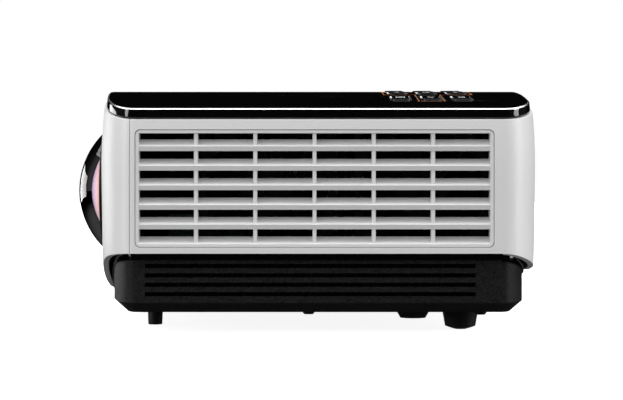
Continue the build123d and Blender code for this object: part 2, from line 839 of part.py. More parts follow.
with BuildPart() as lens_glass:
    with BuildSketch(lens_plane):
        with BuildLine():
            ThreePointArc(*[dome_point(dome_radius, glass_radius, share) for share in (0, 0.5, 1)])
            Polyline((dome_rim_x, glass_radius), (seat_x, glass_radius), (seat_x, bowl_rim))
            ThreePointArc(*[dome_point(bowl_radius, bowl_rim, share) for share in (1, 0.5, 0)])
            Line((dome_centre - bowl_radius, 0), (lens_apex, 0))
        make_face()
    revolve(axis=lens_axis)
lens_glass.part.label = "lens_glass"
export_step(lens_glass.part, "parts/lens_glass.step")

with BuildPart() as lens_retainer:
    with BuildSketch(Plane(lens_plane.location * Location((seat_x, 0, 0), (0, -90, 0)))):
        Circle(retainer_radius)
        Circle(glass_radius + fit, mode=Mode.SUBTRACT)
    extrude(amount=retainer_length)
    chamfer(lens_retainer.edges().filter_by(GeomType.CIRCLE).sort_by(Axis.X)[:2], length=retainer_bevel)
lens_retainer.part.label = "lens_retainer"
export_step(lens_retainer.part, "parts/lens_retainer.step")

with BuildPart() as lens_barrel:
    with BuildSketch(lens_plane):
        with BuildLine():
            Polyline(
                (seat_x, barrel_radius),
                (barrel_step_x, barrel_radius),
                (barrel_neck_x, neck_radius),
                (engine_x[0] - neck_flange, neck_radius),
                (engine_x[0] - neck_flange, neck_flange_radius),
                (engine_x[0], neck_flange_radius),
                (engine_x[0], neck_radius - barrel_wall),
                (barrel_neck_x, neck_radius - barrel_wall),
                (barrel_step_x, barrel_radius - barrel_wall),
                (seat_x, barrel_radius - barrel_wall),
                close=True,
            )
        make_face()
    revolve(axis=lens_axis)
lens_barrel.part.label = "lens_barrel"
export_step(lens_barrel.part, "parts/lens_barrel.step")

ring_start = seat_x + ring_play
with BuildPart() as focus_ring:
    with BuildSketch(Plane.YZ.offset(ring_start)):
        with Locations((lens_y, lens_z)):
            Circle(ring_radius - knurl_height)
            Circle(barrel_radius + ring_play, mode=Mode.SUBTRACT)
            with PolarLocations(ring_radius - knurl_height, knurl_count):
                Rectangle(2 * knurl_height, knurl_width)
    extrude(amount=ring_length)
focus_ring.part.label = "focus_ring"
export_step(focus_ring.part, "parts/focus_ring.step")

# ---- Light engine with its chip board, heat sink and colour wheel ----
engine_low = engine_z[0]
engine_legs = [
    (x, y)
    for x in (engine_x[0] + engine_leg_inset, engine_x[1] - engine_leg_inset)
    for y in (engine_y[0] + engine_leg_inset, engine_y[1] - engine_leg_inset)
]
with BuildPart() as light_engine:
    block(engine_x, engine_y, engine_z)
    fillet(light_engine.edges().filter_by(Axis.Z), radius=post_radius)
    with BuildSketch(Plane.XY.offset(deck_z)):
        with Locations(*engine_legs):
            Circle(post_radius)
    extrude(amount=engine_low - deck_z)
    for rib in range(engine_ribs):
        rib_y = engine_y[0] + (rib + 1) * (engine_y[1] - engine_y[0]) / (engine_ribs + 1)
        block(
            (engine_x[0] + post_radius, engine_x[1] - post_radius), around(rib_y, base_wall),
            (engine_z[1], engine_z[1] + post_radius),
        )
light_engine.part.label = "light_engine"
export_step(light_engine.part, "parts/light_engine.step")

chip_board_y = (engine_y[0] - chip_board_wall, engine_y[0])
with BuildPart() as imaging_board:
    block(chip_board_x, chip_board_y, chip_board_z)
imaging_board.part.label = "imaging_board"
export_step(imaging_board.part, "parts/imaging_board.step")

with BuildPart() as heat_sink:
    sink_y = chip_board_y[0] - sink_base
    block(sink_x, (sink_y, chip_board_y[0]), sink_z)
    fin_step = (sink_x[1] - sink_x[0] - sink_fin_wall) / (sink_fins - 1)
    for fin in range(sink_fins):
        fin_x = sink_x[0] + fin * fin_step
        block((fin_x, fin_x + sink_fin_wall), (sink_y - sink_depth, sink_y), sink_z)
heat_sink.part.label = "heat_sink"
export_step(heat_sink.part, "parts/heat_sink.step")

wheel_place = (wheel_y, (engine_z[0] + engine_z[1]) / 2)
wheel_x = engine_x[1] + wheel_motor_length + fan_play
with BuildPart() as wheel_motor:
    with BuildSketch(Plane.YZ.offset(engine_x[1])):
        with Locations(wheel_place):
            Circle(wheel_motor_radius)
    extrude(amount=wheel_motor_length)
    with BuildSketch(Plane.YZ.offset(engine_x[1])):
        with Locations(wheel_place):
            Circle(wheel_shaft_radius)
    extrude(amount=wheel_motor_length + wheel_hub_wall + shaft_end)
wheel_motor.part.label = "wheel_motor"
export_step(wheel_motor.part, "parts/wheel_motor.step")

with BuildPart() as colour_wheel:
    for radius, wall in ((wheel_radius, wheel_wall), (wheel_hub_radius, wheel_hub_wall)):
        with BuildSketch(Plane.YZ.offset(wheel_x)):
            with Locations(wheel_place):
                Circle(radius)
        extrude(amount=wall)
    with BuildSketch(Plane.YZ.offset(wheel_x)):
        with Locations(wheel_place):
            Circle(wheel_shaft_radius + shaft_play)
    extrude(amount=wheel_hub_wall, mode=Mode.SUBTRACT)
colour_wheel.part.label = "colour_wheel"
export_step(colour_wheel.part, "parts/colour_wheel.step")

# ---- Lamp and its ballast, power supply, speaker ----
with BuildPart() as lamp_module:
    block(lamp_x, lamp_y, (deck_z, lamp_z))
    with BuildSketch(Plane.YZ.offset(lamp_x[0])):
        with Locations((sum(lamp_y) / 2, (deck_z + lamp_z) / 2)):
            Circle(lamp_mouth_radius)
    extrude(amount=lamp_mouth_depth, mode=Mode.SUBTRACT)
    block(
        around(sum(lamp_x) / 2, lamp_grip[0]), around(sum(lamp_y) / 2, lamp_grip[1]),
        (lamp_z, lamp_z + lamp_grip[2]),
    )
lamp_module.part.label = "lamp_module"
export_step(lamp_module.part, "parts/lamp_module.step")


def circuit_board(x, y, low, coils, cans):
    """Board with square-built coils and round capacitors, each given by place and size."""
    top = low + board_wall
    with BuildPart() as board:
        block(x, y, (low, top))
        for share_x, share_y, width, depth, height in coils:
            middle_x = x[0] + share_x * (x[1] - x[0])
            middle_y = y[0] + share_y * (y[1] - y[0])
            block(around(middle_x, width), around(middle_y, depth), (top, top + height))
        for share_x, share_y, radius, height in cans:
            with BuildSketch(Plane.XY.offset(top)):
                with Locations((x[0] + share_x * (x[1] - x[0]), y[0] + share_y * (y[1] - y[0]))):
                    Circle(radius)
            extrude(amount=height)
    return board.part


ballast_low = fan_y + fan_depth + ballast_from_fans
ballast_y = (ballast_low, ballast_low + ballast_length)
with BuildPart() as lamp_ballast:
    add(circuit_board(ballast_x, ballast_y, deck_z, ballast_coils, ballast_cans))
lamp_ballast.part.label = "lamp_ballast"
export_step(lamp_ballast.part, "parts/lamp_ballast.step")

with BuildPart() as power_supply:
    add(circuit_board(supply_x, supply_y, supply_z, supply_coils, supply_cans))
power_supply.part.label = "power_supply"
export_step(power_supply.part, "parts/power_supply.step")

speaker_y = grille_back - fit
with BuildPart() as speaker:
    with BuildSketch(Plane.XY.offset(speaker_z)):
        with BuildLine():
            Polyline(
                (speaker_x, speaker_y), (speaker_x + speaker_radius, speaker_y),
                (speaker_x + speaker_radius, speaker_y - speaker_flange),
                (speaker_x + magnet_radius, speaker_y - speaker_depth + magnet_depth),
                (speaker_x + magnet_radius, speaker_y - speaker_depth),
                (speaker_x, speaker_y - speaker_depth),
                close=True,
            )
        make_face()
    revolve(axis=Axis((speaker_x, 0, speaker_z), (0, 1, 0)))
    block(
        around(speaker_x, magnet_radius), (speaker_y - speaker_flange, speaker_y),
        (deck_z, speaker_z - magnet_radius),
    )
speaker.part.label = "speaker"
export_step(speaker.part, "parts/speaker.step")

# ---- Exhaust fans ----
fan_z = deck_z + fan_size / 2
fan_back = fan_y + fan_depth
with BuildPart() as fan_frames:
    for fan_x in fan_centres:
        with BuildSketch(Plane.XZ.offset(-fan_y)):
            with Locations((fan_x, fan_z)):
                RectangleRounded(fan_size, fan_size, fan_corner)
                Circle(fan_bore_radius, mode=Mode.SUBTRACT)
                with GridLocations(fan_hole_pitch, fan_hole_pitch, 2, 2):
                    Circle(fan_hole_radius, mode=Mode.SUBTRACT)
        extrude(amount=-fan_depth)
        with BuildSketch(Plane.XZ.offset(-fan_back)):
            with Locations((fan_x, fan_z)):
                Circle(fan_hub_radius)
                Rectangle(2 * fan_bore_radius + fan_blade_root, fan_arm_width)
                Rectangle(fan_arm_width, 2 * fan_bore_radius + fan_blade_root)
        extrude(amount=fan_spider_wall)
        with BuildSketch(Plane.XZ.offset(-fan_back)):
            with Locations((fan_x, fan_z)):
                Circle(fan_shaft_radius)
        extrude(amount=fan_depth - fan_spider_wall)
fan_frames.part.label = "fan_frames"
export_step(fan_frames.part, "parts/fan_frames.step")

rotor_back = fan_back - fan_spider_wall - fan_play
rotor_length = fan_depth - fan_spider_wall - fan_play - fan_rotor_recess
for name, fan_x in zip(("fan_rotor_front", "fan_rotor_rear"), fan_centres):
    rotor_plane = Plane(origin=(fan_x, rotor_back, fan_z), x_dir=(1, 0, 0), z_dir=(0, -1, 0))
    with BuildPart(rotor_plane) as rotor:
        Cylinder(fan_hub_radius, rotor_length, align=(Align.CENTER, Align.CENTER, Align.MIN))
        blade_length = fan_rotor_radius - fan_hub_radius + fan_blade_root
        with Locations((0, 0, rotor_length / 2)):
            with PolarLocations(fan_rotor_radius - blade_length / 2, fan_blades):
                Box(blade_length, fan_blade_wall, fan_blade_chord, rotation=(fan_blade_pitch, 0, 0))
        Cylinder(
            fan_shaft_radius + shaft_play, rotor_length,
            align=(Align.CENTER, Align.CENTER, Align.MIN), mode=Mode.SUBTRACT,
        )
    rotor.part.label = name
    export_step(rotor.part, f"parts/{name}.step")

# ---- Socket panel ----
socket_front = panel_face + socket_proud
panel_back = panel_face - panel_wall
dsub_front = panel_face + dsub_proud
mains_place = (mains_y, panel_middle)


def through_panel(place, size):
    """Rectangle of a socket at a place on the panel, for the sketch in use."""
    with Locations(place):
        Rectangle(size[0] + 2 * socket_play, size[1] + 2 * socket_play)


with BuildPart() as rear_panel:
    with BuildSketch(Plane.YZ.offset(panel_back)):
        with Locations((0, panel_middle)):
            RectangleRounded(2 * (panel_y - panel_play), panel_height - 2 * panel_play, panel_corner)
    extrude(amount=rear_apex - panel_setback - panel_back)
    panel_border = panel_play + panel_rim
    with BuildSketch(Plane.YZ.offset(panel_face)):
        with Locations((0, panel_middle)):
            inner_size = (2 * (panel_y - panel_border), panel_height - 2 * panel_border)
            RectangleRounded(*inner_size, panel_corner)
    extrude(amount=far_x, mode=Mode.SUBTRACT)
    with BuildSketch(Plane.YZ.offset(panel_back)):
        through_panel(mains_place, mains_size)
        through_panel((hdmi_y, lower_row), hdmi_size)
        through_panel((lan_y, lower_row), lan_size)
        through_panel((usb_y, lower_row), usb_size)
        through_panel((ir_rear_y, upper_row), ir_size)
        for place in dsub_places:
            through_panel(place, dsub_shell)
            with Locations(place):
                with GridLocations(2 * dsub_post_offset, 1, 2, 1):
                    Circle(dsub_post_radius + socket_play)
        with Locations(*[(y, upper_row) for y in phono_ys]):
            Circle(phono_radius + socket_play)
        with Locations(*[(y, lower_row) for y in jack_ys]):
            Circle(jack_radius + socket_play)
    extrude(amount=panel_wall, mode=Mode.SUBTRACT)
rear_panel.part.label = "rear_panel"
export_step(rear_panel.part, "parts/rear_panel.step")

with BuildPart() as main_board:
    block((board_face - board_wall, board_face), (-board_y, board_y), (deck_z, board_z))
main_board.part.label = "main_board"
export_step(main_board.part, "parts/main_board.step")

with BuildPart() as mains_inlet:
    block(
        (board_face, socket_front),
        around(mains_place[0], mains_size[0]), around(mains_place[1], mains_size[1]),
    )
    block(
        (socket_front - mains_depth, socket_front),
        around(mains_place[0], mains_cavity[0]), around(mains_place[1], mains_cavity[1]), Mode.SUBTRACT,
    )
    for pin_y, pin_z in mains_pins:
        block(
            (board_face, socket_front - mains_pin[2]),
            around(mains_place[0] + pin_y, mains_pin[0]), around(mains_place[1] + pin_z, mains_pin[1]),
        )
mains_inlet.part.label = "mains_inlet"
export_step(mains_inlet.part, "parts/mains_inlet.step")

with BuildPart() as dsub_sockets:
    for place in dsub_places:
        block((board_face, panel_back), around(place[0], dsub_size[0]), around(place[1], dsub_size[1]))
        with BuildSketch(Plane.YZ.offset(panel_back)):
            with Locations(place):
                Trapezoid(dsub_shell[0], dsub_shell[1], dsub_angle)
        extrude(amount=dsub_front - panel_back)
        with BuildSketch(Plane.YZ.offset(panel_back)):
            with Locations(place):
                with GridLocations(2 * dsub_post_offset, 1, 2, 1):
                    Circle(dsub_post_radius)
        extrude(amount=dsub_front - panel_back)
dsub_sockets.part.label = "dsub_sockets"
export_step(dsub_sockets.part, "parts/dsub_sockets.step")


def cavity_socket(y, size, cavity, tongue):
    """Socket on the main board with a cavity in its face, and a tongue in the cavity."""
    with BuildPart() as socket:
        block((board_face, socket_front), around(y, size[0]), around(lower_row, size[1]))
        deep = (socket_front - cavity_depth, socket_front)
        block(deep, around(y, cavity[0]), around(lower_row, cavity[1]), Mode.SUBTRACT)
        if tongue:
            tongue_x = (deep[0], deep[1] - tongue_setback)
            block(tongue_x, around(y, tongue[0]), around(lower_row, tongue[1]))
    return socket.part


with BuildPart() as hdmi_socket:
    add(cavity_socket(hdmi_y, hdmi_size, hdmi_cavity, hdmi_tongue))
hdmi_socket.part.label = "hdmi_socket"
export_step(hdmi_socket.part, "parts/hdmi_socket.step")

with BuildPart() as lan_socket:
    add(cavity_socket(lan_y, lan_size, lan_cavity, None))
lan_socket.part.label = "lan_socket"
export_step(lan_socket.part, "parts/lan_socket.step")

with BuildPart() as usb_socket:
    add(cavity_socket(usb_y, usb_size, usb_cavity, usb_tongue))
usb_socket.part.label = "usb_socket"
export_step(usb_socket.part, "parts/usb_socket.step")


def round_sockets(places, pad, radius, bore, length):
    """Round sockets on square pads that stand on the main board behind the panel."""
    with BuildPart() as sockets:
        for place in places:
            block((board_face, panel_back), around(place[0], pad), around(place[1], pad))
            with BuildSketch(Plane.YZ.offset(panel_back)):
                with Locations(place):
                    Circle(radius)
            extrude(amount=panel_wall + length)
            with BuildSketch(Plane.YZ.offset(panel_face + length)):
                with Locations(place):
                    Circle(bore)
            extrude(amount=-cavity_depth, mode=Mode.SUBTRACT)
    return sockets.part


with BuildPart() as phono_sockets:
    phono_places = [(y, upper_row) for y in phono_ys]
    add(round_sockets(phono_places, phono_pad, phono_radius, phono_bore, phono_proud))
phono_sockets.part.label = "phono_sockets"
export_step(phono_sockets.part, "parts/phono_sockets.step")

with BuildPart() as audio_jacks:
    jack_places = [(y, lower_row) for y in jack_ys]
    add(round_sockets(jack_places, phono_pad, jack_radius, jack_bore, socket_proud))
audio_jacks.part.label = "audio_jacks"
export_step(audio_jacks.part, "parts/audio_jacks.step")

with BuildPart() as ir_windows:
    with BuildSketch(Plane.YZ.offset(ir_front_x)):
        with Locations(ir_front):
            RectangleRounded(*ir_size, key_corner)
    extrude(amount=shell_wall)
    block((panel_back, panel_face), around(ir_rear_y, ir_size[0]), around(upper_row, ir_size[1]))
ir_windows.part.label = "ir_windows"
export_step(ir_windows.part, "parts/ir_windows.step")

# ---- Disc drive: chassis and lid ----
drive_inner_x = (drive_x[0] + sheet, drive_x[1] - sheet)
drive_middle = sum(drive_x) / 2

with BuildPart() as drive_chassis:
    block(drive_x, drive_y, drive_z)
    block(
        drive_inner_x, (drive_y[0] + sheet, drive_y[1] + cut_past),
        (drive_z[0] + sheet, drive_z[1] + cut_past), Mode.SUBTRACT,
    )
drive_chassis.part.label = "drive_chassis"
export_step(drive_chassis.part, "parts/drive_chassis.step")

with BuildPart() as drive_lid:
    block(drive_x, drive_y, (drive_z[1], drive_z[1] + sheet))
    with BuildSketch(Plane.XY.offset(drive_z[1] + sheet)):
        with Locations((drive_middle, sum(drive_y) / 2)):
            Circle(lid_ring_radius)
            Circle(lid_ring_radius - lid_ring_width, mode=Mode.SUBTRACT)
    extrude(amount=lid_ring_height)
drive_lid.part.label = "drive_lid"
export_step(drive_lid.part, "parts/drive_lid.step")

# ---- Disc drive: rails, tray and its front ----
rail_inset = rail_gap + rail_wall
tray_x = (drive_inner_x[0] + rail_inset + rail_gap, drive_inner_x[1] - rail_inset - rail_gap)
tray_front_y = base_side_y - tray_front_wall
spindle_y = tray_front_y - tray_front_lip - disc_well_radius
tray_back_y = spindle_y - disc_well_radius - tray_rear_lip
spindle = (drive_middle, spindle_y)
sled_travel = disc_well_radius - sled_stop - sled_start
tray_slot_end = sled_start + sled_travel + sled_size[1] / 2 + rail_gap  # from the spindle
rail_length = tray_travel / 2 + rail_hold
rail_z = (tray_z[0] + rail_lift, tray_z[0] + rail_lift + rail_height)
tray_under = tray_z[1] - tray_plate

with BuildPart() as slide_rails:
    rail_y = (drive_y[1] - rail_length - rail_setback, drive_y[1] - rail_setback)
    block((drive_inner_x[0] + rail_gap, drive_inner_x[0] + rail_inset), rail_y, rail_z)
    block((drive_inner_x[1] - rail_inset, drive_inner_x[1] - rail_gap), rail_y, rail_z)
slide_rails.part.label = "slide_rails"
export_step(slide_rails.part, "parts/slide_rails.step")

with BuildPart() as disc_tray:
    block(tray_x, (tray_back_y, tray_front_y), tray_z)
    block(
        (tray_x[0] + tray_skirt, tray_x[1] - tray_skirt),
        (tray_back_y - cut_past, tray_front_y - tray_skirt),
        (tray_z[0] - cut_past, tray_under), Mode.SUBTRACT,
    )
    deep_well = disc_well_depth + small_well_depth
    for radius, depth in ((disc_well_radius, disc_well_depth), (small_well_radius, deep_well)):
        with BuildSketch(Plane.XY.offset(tray_z[1])):
            with Locations(spindle):
                Circle(radius)
        extrude(amount=-depth, mode=Mode.SUBTRACT)
    with BuildSketch(Plane.XY.offset(tray_z[1])):
        with Locations(spindle):
            Circle(turntable_radius + tray_hole_play)
        with Locations((drive_middle, spindle_y - tray_slot_end / 2)):
            Rectangle(tray_slot_width, tray_slot_end)
    extrude(amount=-tray_plate, mode=Mode.SUBTRACT)
disc_tray.part.label = "disc_tray"
export_step(disc_tray.part, "parts/disc_tray.step")

button_place = (tray_front_x[1] - button_from_end, (tray_z[1] + tray_front_z[1]) / 2)
with BuildPart() as tray_front:
    block(tray_front_x, (tray_front_y, base_side_y), tray_front_z)
    with BuildSketch(Plane.XZ.offset(-base_side_y)):
        with Locations(button_place):
            RectangleRounded(button_size[0] + 2 * fit, button_size[1] + 2 * fit, button_size[1] / 2)
    extrude(amount=tray_front_wall, mode=Mode.SUBTRACT)
    chamfer(tray_front.faces().sort_by(Axis.Y)[-1].outer_wire().edges(), length=fit)
tray_front.part.label = "tray_front"
export_step(tray_front.part, "parts/tray_front.step")

with BuildPart() as eject_button:
    with BuildSketch(Plane.XZ.offset(-base_side_y - button_proud)):
        with Locations(button_place):
            RectangleRounded(*button_size, button_size[1] / 2 - fit)
    extrude(amount=tray_front_wall + button_proud + fit)
    with BuildSketch(Plane.XZ.offset(-tray_front_y + fit)):
        with Locations(button_place):
            Rectangle(button_size[0] + 2 * button_flange, button_size[1] + 2 * button_flange)
    extrude(amount=button_flange)
eject_button.part.label = "eject_button"
export_step(eject_button.part, "parts/eject_button.step")

# ---- Disc drive: traverse, turntable, pickup and lead screw ----
deck_gap = tray_under - rail_gap
sled_z = (deck_gap - sled_size[2], deck_gap)
rod_z = sum(sled_z) / 2
block_z = (sled_z[0], tray_under)
block_x = (drive_middle - sled_size[0] / 2, drive_middle + screw_offset + screw_radius + screw_wall)
rear_block_y = (tray_back_y, spindle_y - tray_slot_end)
front_block_y = (
    spindle_y - sled_start + sled_size[1] / 2 + rail_gap,
    spindle_y - motor_radius - rail_gap,
)
screw_place = (drive_middle + screw_offset, rod_z)

with BuildPart() as traverse:
    for block_y in (rear_block_y, front_block_y):
        block(block_x, block_y, block_z)
    with BuildSketch(Plane.XY.offset(sled_z[0])):
        with Locations(spindle):
            Circle(motor_radius)
    extrude(amount=motor_height)
    block(
        around(drive_middle, motor_radius), (front_block_y[1] - traverse_wall, spindle_y),
        (sled_z[0], sled_z[0] + traverse_wall),
    )
    with BuildSketch(Plane.XY.offset(sled_z[0])):
        with Locations(spindle):
            Circle(spindle_radius)
    extrude(amount=tray_z[1] + clamp_height / 2 - sled_z[0])
    for side in (-1, 1):
        with BuildSketch(Plane.XZ.offset(-front_block_y[0])):
            with Locations((drive_middle + side * rod_spacing, rod_z)):
                Circle(rod_radius)
        extrude(amount=front_block_y[0] - rear_block_y[1])
    with BuildSketch(Plane.XZ.offset(-front_block_y[1] - cut_past)):
        with Locations(screw_place):
            Circle(screw_radius + shaft_play)
    extrude(amount=front_block_y[1] + 2 * cut_past - rear_block_y[0], mode=Mode.SUBTRACT)
    with BuildSketch(Plane.XZ.offset(-front_block_y[1] - sled_motor_length)):
        with Locations(screw_place):
            Circle(sled_motor_radius)
            Circle(screw_radius + shaft_play, mode=Mode.SUBTRACT)
    extrude(amount=sled_motor_length)
traverse.part.label = "traverse"
export_step(traverse.part, "parts/traverse.step")

with BuildPart() as lead_screw:
    screw_end = front_block_y[1] + sled_motor_length - shaft_end
    with BuildSketch(Plane.XZ.offset(-screw_end)):
        with Locations(screw_place):
            Circle(screw_radius)
    extrude(amount=screw_end - rear_block_y[0])
lead_screw.part.label = "lead_screw"
export_step(lead_screw.part, "parts/lead_screw.step")

with BuildPart() as turntable:
    turntable_low = sled_z[0] + motor_height + fit
    with BuildSketch(Plane.XY.offset(turntable_low)):
        with Locations(spindle):
            Circle(clamp_radius)
    extrude(amount=tray_z[1] + clamp_height - turntable_low)
    fillet(turntable.faces().sort_by(Axis.Z)[-1].edges(), radius=clamp_height / 3)
    with BuildSketch(Plane.XY.offset(tray_z[1] - disc_well_depth - turntable_height + disc_lift)):
        with Locations(spindle):
            Circle(turntable_radius)
    extrude(amount=turntable_height)
    with BuildSketch(Plane.XY.offset(turntable_low)):
        with Locations(spindle):
            Circle(spindle_radius + shaft_play)
    extrude(amount=tray_z[1] + clamp_height, mode=Mode.SUBTRACT)
turntable.part.label = "turntable"
export_step(turntable.part, "parts/turntable.step")

sled_y = around(spindle_y - sled_start, sled_size[1])
with BuildPart() as pickup_sled:
    block(around(drive_middle, sled_size[0]), sled_y, sled_z)
    block(
        (drive_middle + sled_size[0] / 2, screw_place[0] - screw_radius - fit),
        around(spindle_y - sled_start, sled_arm_width), around(rod_z, screw_radius),
    )
    with BuildSketch(Plane.XY.offset(sled_z[1])):
        with Locations((drive_middle, spindle_y - sled_start)):
            Circle(pickup_lens_radius)
    extrude(amount=pickup_lens_height)
    for side in (-1, 1):
        with BuildSketch(Plane.XZ.offset(-sled_y[1])):
            with Locations((drive_middle + side * rod_spacing, rod_z)):
                Circle(rod_radius + shaft_play)
        extrude(amount=sled_size[1], mode=Mode.SUBTRACT)
pickup_sled.part.label = "pickup_sled"
export_step(pickup_sled.part, "parts/pickup_sled.step")
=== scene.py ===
from math import asin, cos, hypot, pi, radians, sin, sqrt, tau

import bmesh
import bpy
from mathutils import Matrix, Vector


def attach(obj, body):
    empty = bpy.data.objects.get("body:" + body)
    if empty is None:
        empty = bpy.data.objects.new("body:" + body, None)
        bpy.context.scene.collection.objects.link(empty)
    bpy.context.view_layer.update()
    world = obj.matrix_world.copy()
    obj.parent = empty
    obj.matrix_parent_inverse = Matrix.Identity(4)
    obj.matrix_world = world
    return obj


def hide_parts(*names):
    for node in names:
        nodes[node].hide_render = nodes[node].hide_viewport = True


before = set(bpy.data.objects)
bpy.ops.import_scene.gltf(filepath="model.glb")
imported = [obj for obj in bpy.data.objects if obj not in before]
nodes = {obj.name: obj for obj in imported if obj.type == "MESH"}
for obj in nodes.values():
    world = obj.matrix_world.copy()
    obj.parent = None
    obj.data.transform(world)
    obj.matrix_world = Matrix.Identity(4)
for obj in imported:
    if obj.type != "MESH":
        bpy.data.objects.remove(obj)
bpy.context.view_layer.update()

# ---- Base tray ----
# The lower half of the housing, one black moulding with a spark-eroded grain, bevelled
# underneath and closed with screws. Four long slots in each side let air in, and the
# bosses for a ceiling bracket stand out below.
mm = 0.001


def moulded_plastic(name, colour, roughness, grain=0.0, grain_size=0.5, speckle=0.05, specular=0.5):
    """Moulded plastic: a fine grain in its relief, with colour and shine slightly uneven."""
    patches_per_metre = 30.0
    material = bpy.data.materials.new(name)
    material.use_nodes = True
    tree = material.node_tree
    shader = tree.nodes["Principled BSDF"]
    shader.inputs["Specular IOR Level"].default_value = specular
    place = tree.nodes.new("ShaderNodeTexCoord")
    pits = tree.nodes.new("ShaderNodeTexNoise")
    pits.inputs["Scale"].default_value = 1 / (grain_size * mm)
    pits.inputs["Detail"].default_value = 3.0
    tree.links.new(place.outputs["Object"], pits.inputs["Vector"])
    tint = tree.nodes.new("ShaderNodeValToRGB")
    tint.color_ramp.elements[0].position = 0.35
    tint.color_ramp.elements[1].position = 0.65
    tint.color_ramp.elements[0].color = (*[c * (1 - speckle) for c in colour], 1)
    tint.color_ramp.elements[1].color = (*[min(1, c * (1 + speckle)) for c in colour], 1)
    tree.links.new(pits.outputs["Fac"], tint.inputs["Fac"])
    tree.links.new(tint.outputs["Color"], shader.inputs["Base Color"])
    cloud = tree.nodes.new("ShaderNodeTexNoise")
    cloud.inputs["Scale"].default_value = patches_per_metre
    tree.links.new(place.outputs["Object"], cloud.inputs["Vector"])
    shine = tree.nodes.new("ShaderNodeMapRange")
    shine.inputs["To Min"].default_value = roughness * 0.9
    shine.inputs["To Max"].default_value = min(1.0, roughness * 1.1)
    tree.links.new(cloud.outputs["Fac"], shine.inputs["Value"])
    tree.links.new(shine.outputs["Result"], shader.inputs["Roughness"])
    if grain:
        relief = tree.nodes.new("ShaderNodeBump")
        relief.inputs["Strength"].default_value = grain
        relief.inputs["Distance"].default_value = grain_size * mm / 2
        tree.links.new(pits.outputs["Fac"], relief.inputs["Height"])
        tree.links.new(relief.outputs["Normal"], shader.inputs["Normal"])
    return material


def finish_nodes(material, *names):
    """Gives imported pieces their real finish."""
    for name in names:
        nodes[name].data.materials.clear()
        nodes[name].data.materials.append(material)


def break_edges(width, *names, segments=2, limit=True):
    """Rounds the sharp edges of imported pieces, as a mould leaves them."""
    flat_within, edge_from = radians(0.3), radians(35)
    for name in names:
        join = nodes[name].modifiers.new("joined_faces", "WELD")
        join.merge_threshold = mm / 1000
        flats = nodes[name].modifiers.new("whole_flats", "DECIMATE")
        flats.decimate_type = "DISSOLVE"
        flats.angle_limit = flat_within
        edge = nodes[name].modifiers.new("broken_edges", "BEVEL")
        edge.width = width * mm
        edge.segments = segments
        edge.use_clamp_overlap = limit
        edge.limit_method = "ANGLE"
        edge.angle_limit = edge_from
        edge.harden_normals = False
        shade = nodes[name].modifiers.new("even_shading", "WEIGHTED_NORMAL")
        shade.mode = "FACE_AREA_WITH_ANGLE"
        shade.weight = 50
        shade.keep_sharp = False


grained_black = moulded_plastic(
    "grained_black", (0.011, 0.011, 0.0115), 0.5, grain=1.0, grain_size=0.4, speckle=0.85, specular=0.2)
slot_middle, slot_half = (10.75, -139.1, 23.7), (76.0, 1.0, 9.6)


def paint_slot_shade(material, middle, half):
    """Paints the faces within a space near black and matt, as painted shade behind the slots."""
    tree = material.node_tree
    shader = tree.nodes["Principled BSDF"]
    place = tree.nodes.new("ShaderNodeTexCoord").outputs["Object"]
    for operation, value in (("SUBTRACT", middle), ("DIVIDE", half)):
        step = tree.nodes.new("ShaderNodeVectorMath")
        step.operation = operation
        step.inputs[1].default_value = Vector(value) * mm
        tree.links.new(place, step.inputs[0])
        place = step.outputs[0]
    reach = tree.nodes.new("ShaderNodeVectorMath")
    reach.operation = "ABSOLUTE"
    tree.links.new(place, reach.inputs[0])
    axes = tree.nodes.new("ShaderNodeSeparateXYZ")
    tree.links.new(reach.outputs[0], axes.inputs[0])
    furthest = axes.outputs[0]
    for axis in (1, 2):
        larger = tree.nodes.new("ShaderNodeMath")
        larger.operation = "MAXIMUM"
        tree.links.new(furthest, larger.inputs[0])
        tree.links.new(axes.outputs[axis], larger.inputs[1])
        furthest = larger.outputs[0]
    outside = tree.nodes.new("ShaderNodeMath")
    outside.operation = "GREATER_THAN"
    outside.inputs[1].default_value = 1.0
    tree.links.new(furthest, outside.inputs[0])
    # The near black here is painted shade, not the moulding's own colour.
    painted_shade, matt = (0.001, 0.001, 0.001, 1), (0.9, 0.9, 0.9, 1)
    for socket, inner in (("Base Color", painted_shade), ("Roughness", matt)):
        outer = shader.inputs[socket].links[0].from_socket
        choice = tree.nodes.new("ShaderNodeMix")
        choice.data_type = "RGBA"
        choice.inputs[6].default_value = inner
        tree.links.new(outside.outputs[0], choice.inputs[0])
        tree.links.new(outer, choice.inputs[7])
        tree.links.new(choice.outputs[2], shader.inputs[socket])


# The base's own grained black, with the faces inside the slots painted near black as shade.
base_black = grained_black.copy()
base_black.name = "base_black"
paint_slot_shade(base_black, slot_middle, slot_half)
finish_nodes(base_black, "base_tray")
break_edges(0.35, "base_tray")


def show(name, shape, body, finish, sharp=35):
    """Makes a piece from a built shape and fixes it to its body."""
    mesh = bpy.data.meshes.new(name)
    bmesh.ops.recalc_face_normals(shape, faces=shape.faces)
    shape.to_mesh(mesh)
    shape.free()
    for face in mesh.polygons:
        face.use_smooth = True
    mesh.set_sharp_from_angle(angle=radians(sharp))
    mesh.materials.append(finish)
    piece = bpy.data.objects.new(name, mesh)
    bpy.context.collection.objects.link(piece)
    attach(piece, body)
    return piece


def facing(place, outward, up=(0, 0, 1)):
    """Frame at a place in millimetres, its Z pointing out of the surface."""
    z = Vector(outward).normalized()
    x = Vector(up).cross(z)
    x = x.normalized() if x.length > 0.01 else Vector((1, 0, 0))
    turn = Matrix((x, z.cross(x), z)).transposed()
    return Matrix.Translation(Vector(place) * mm) @ turn.to_4x4()


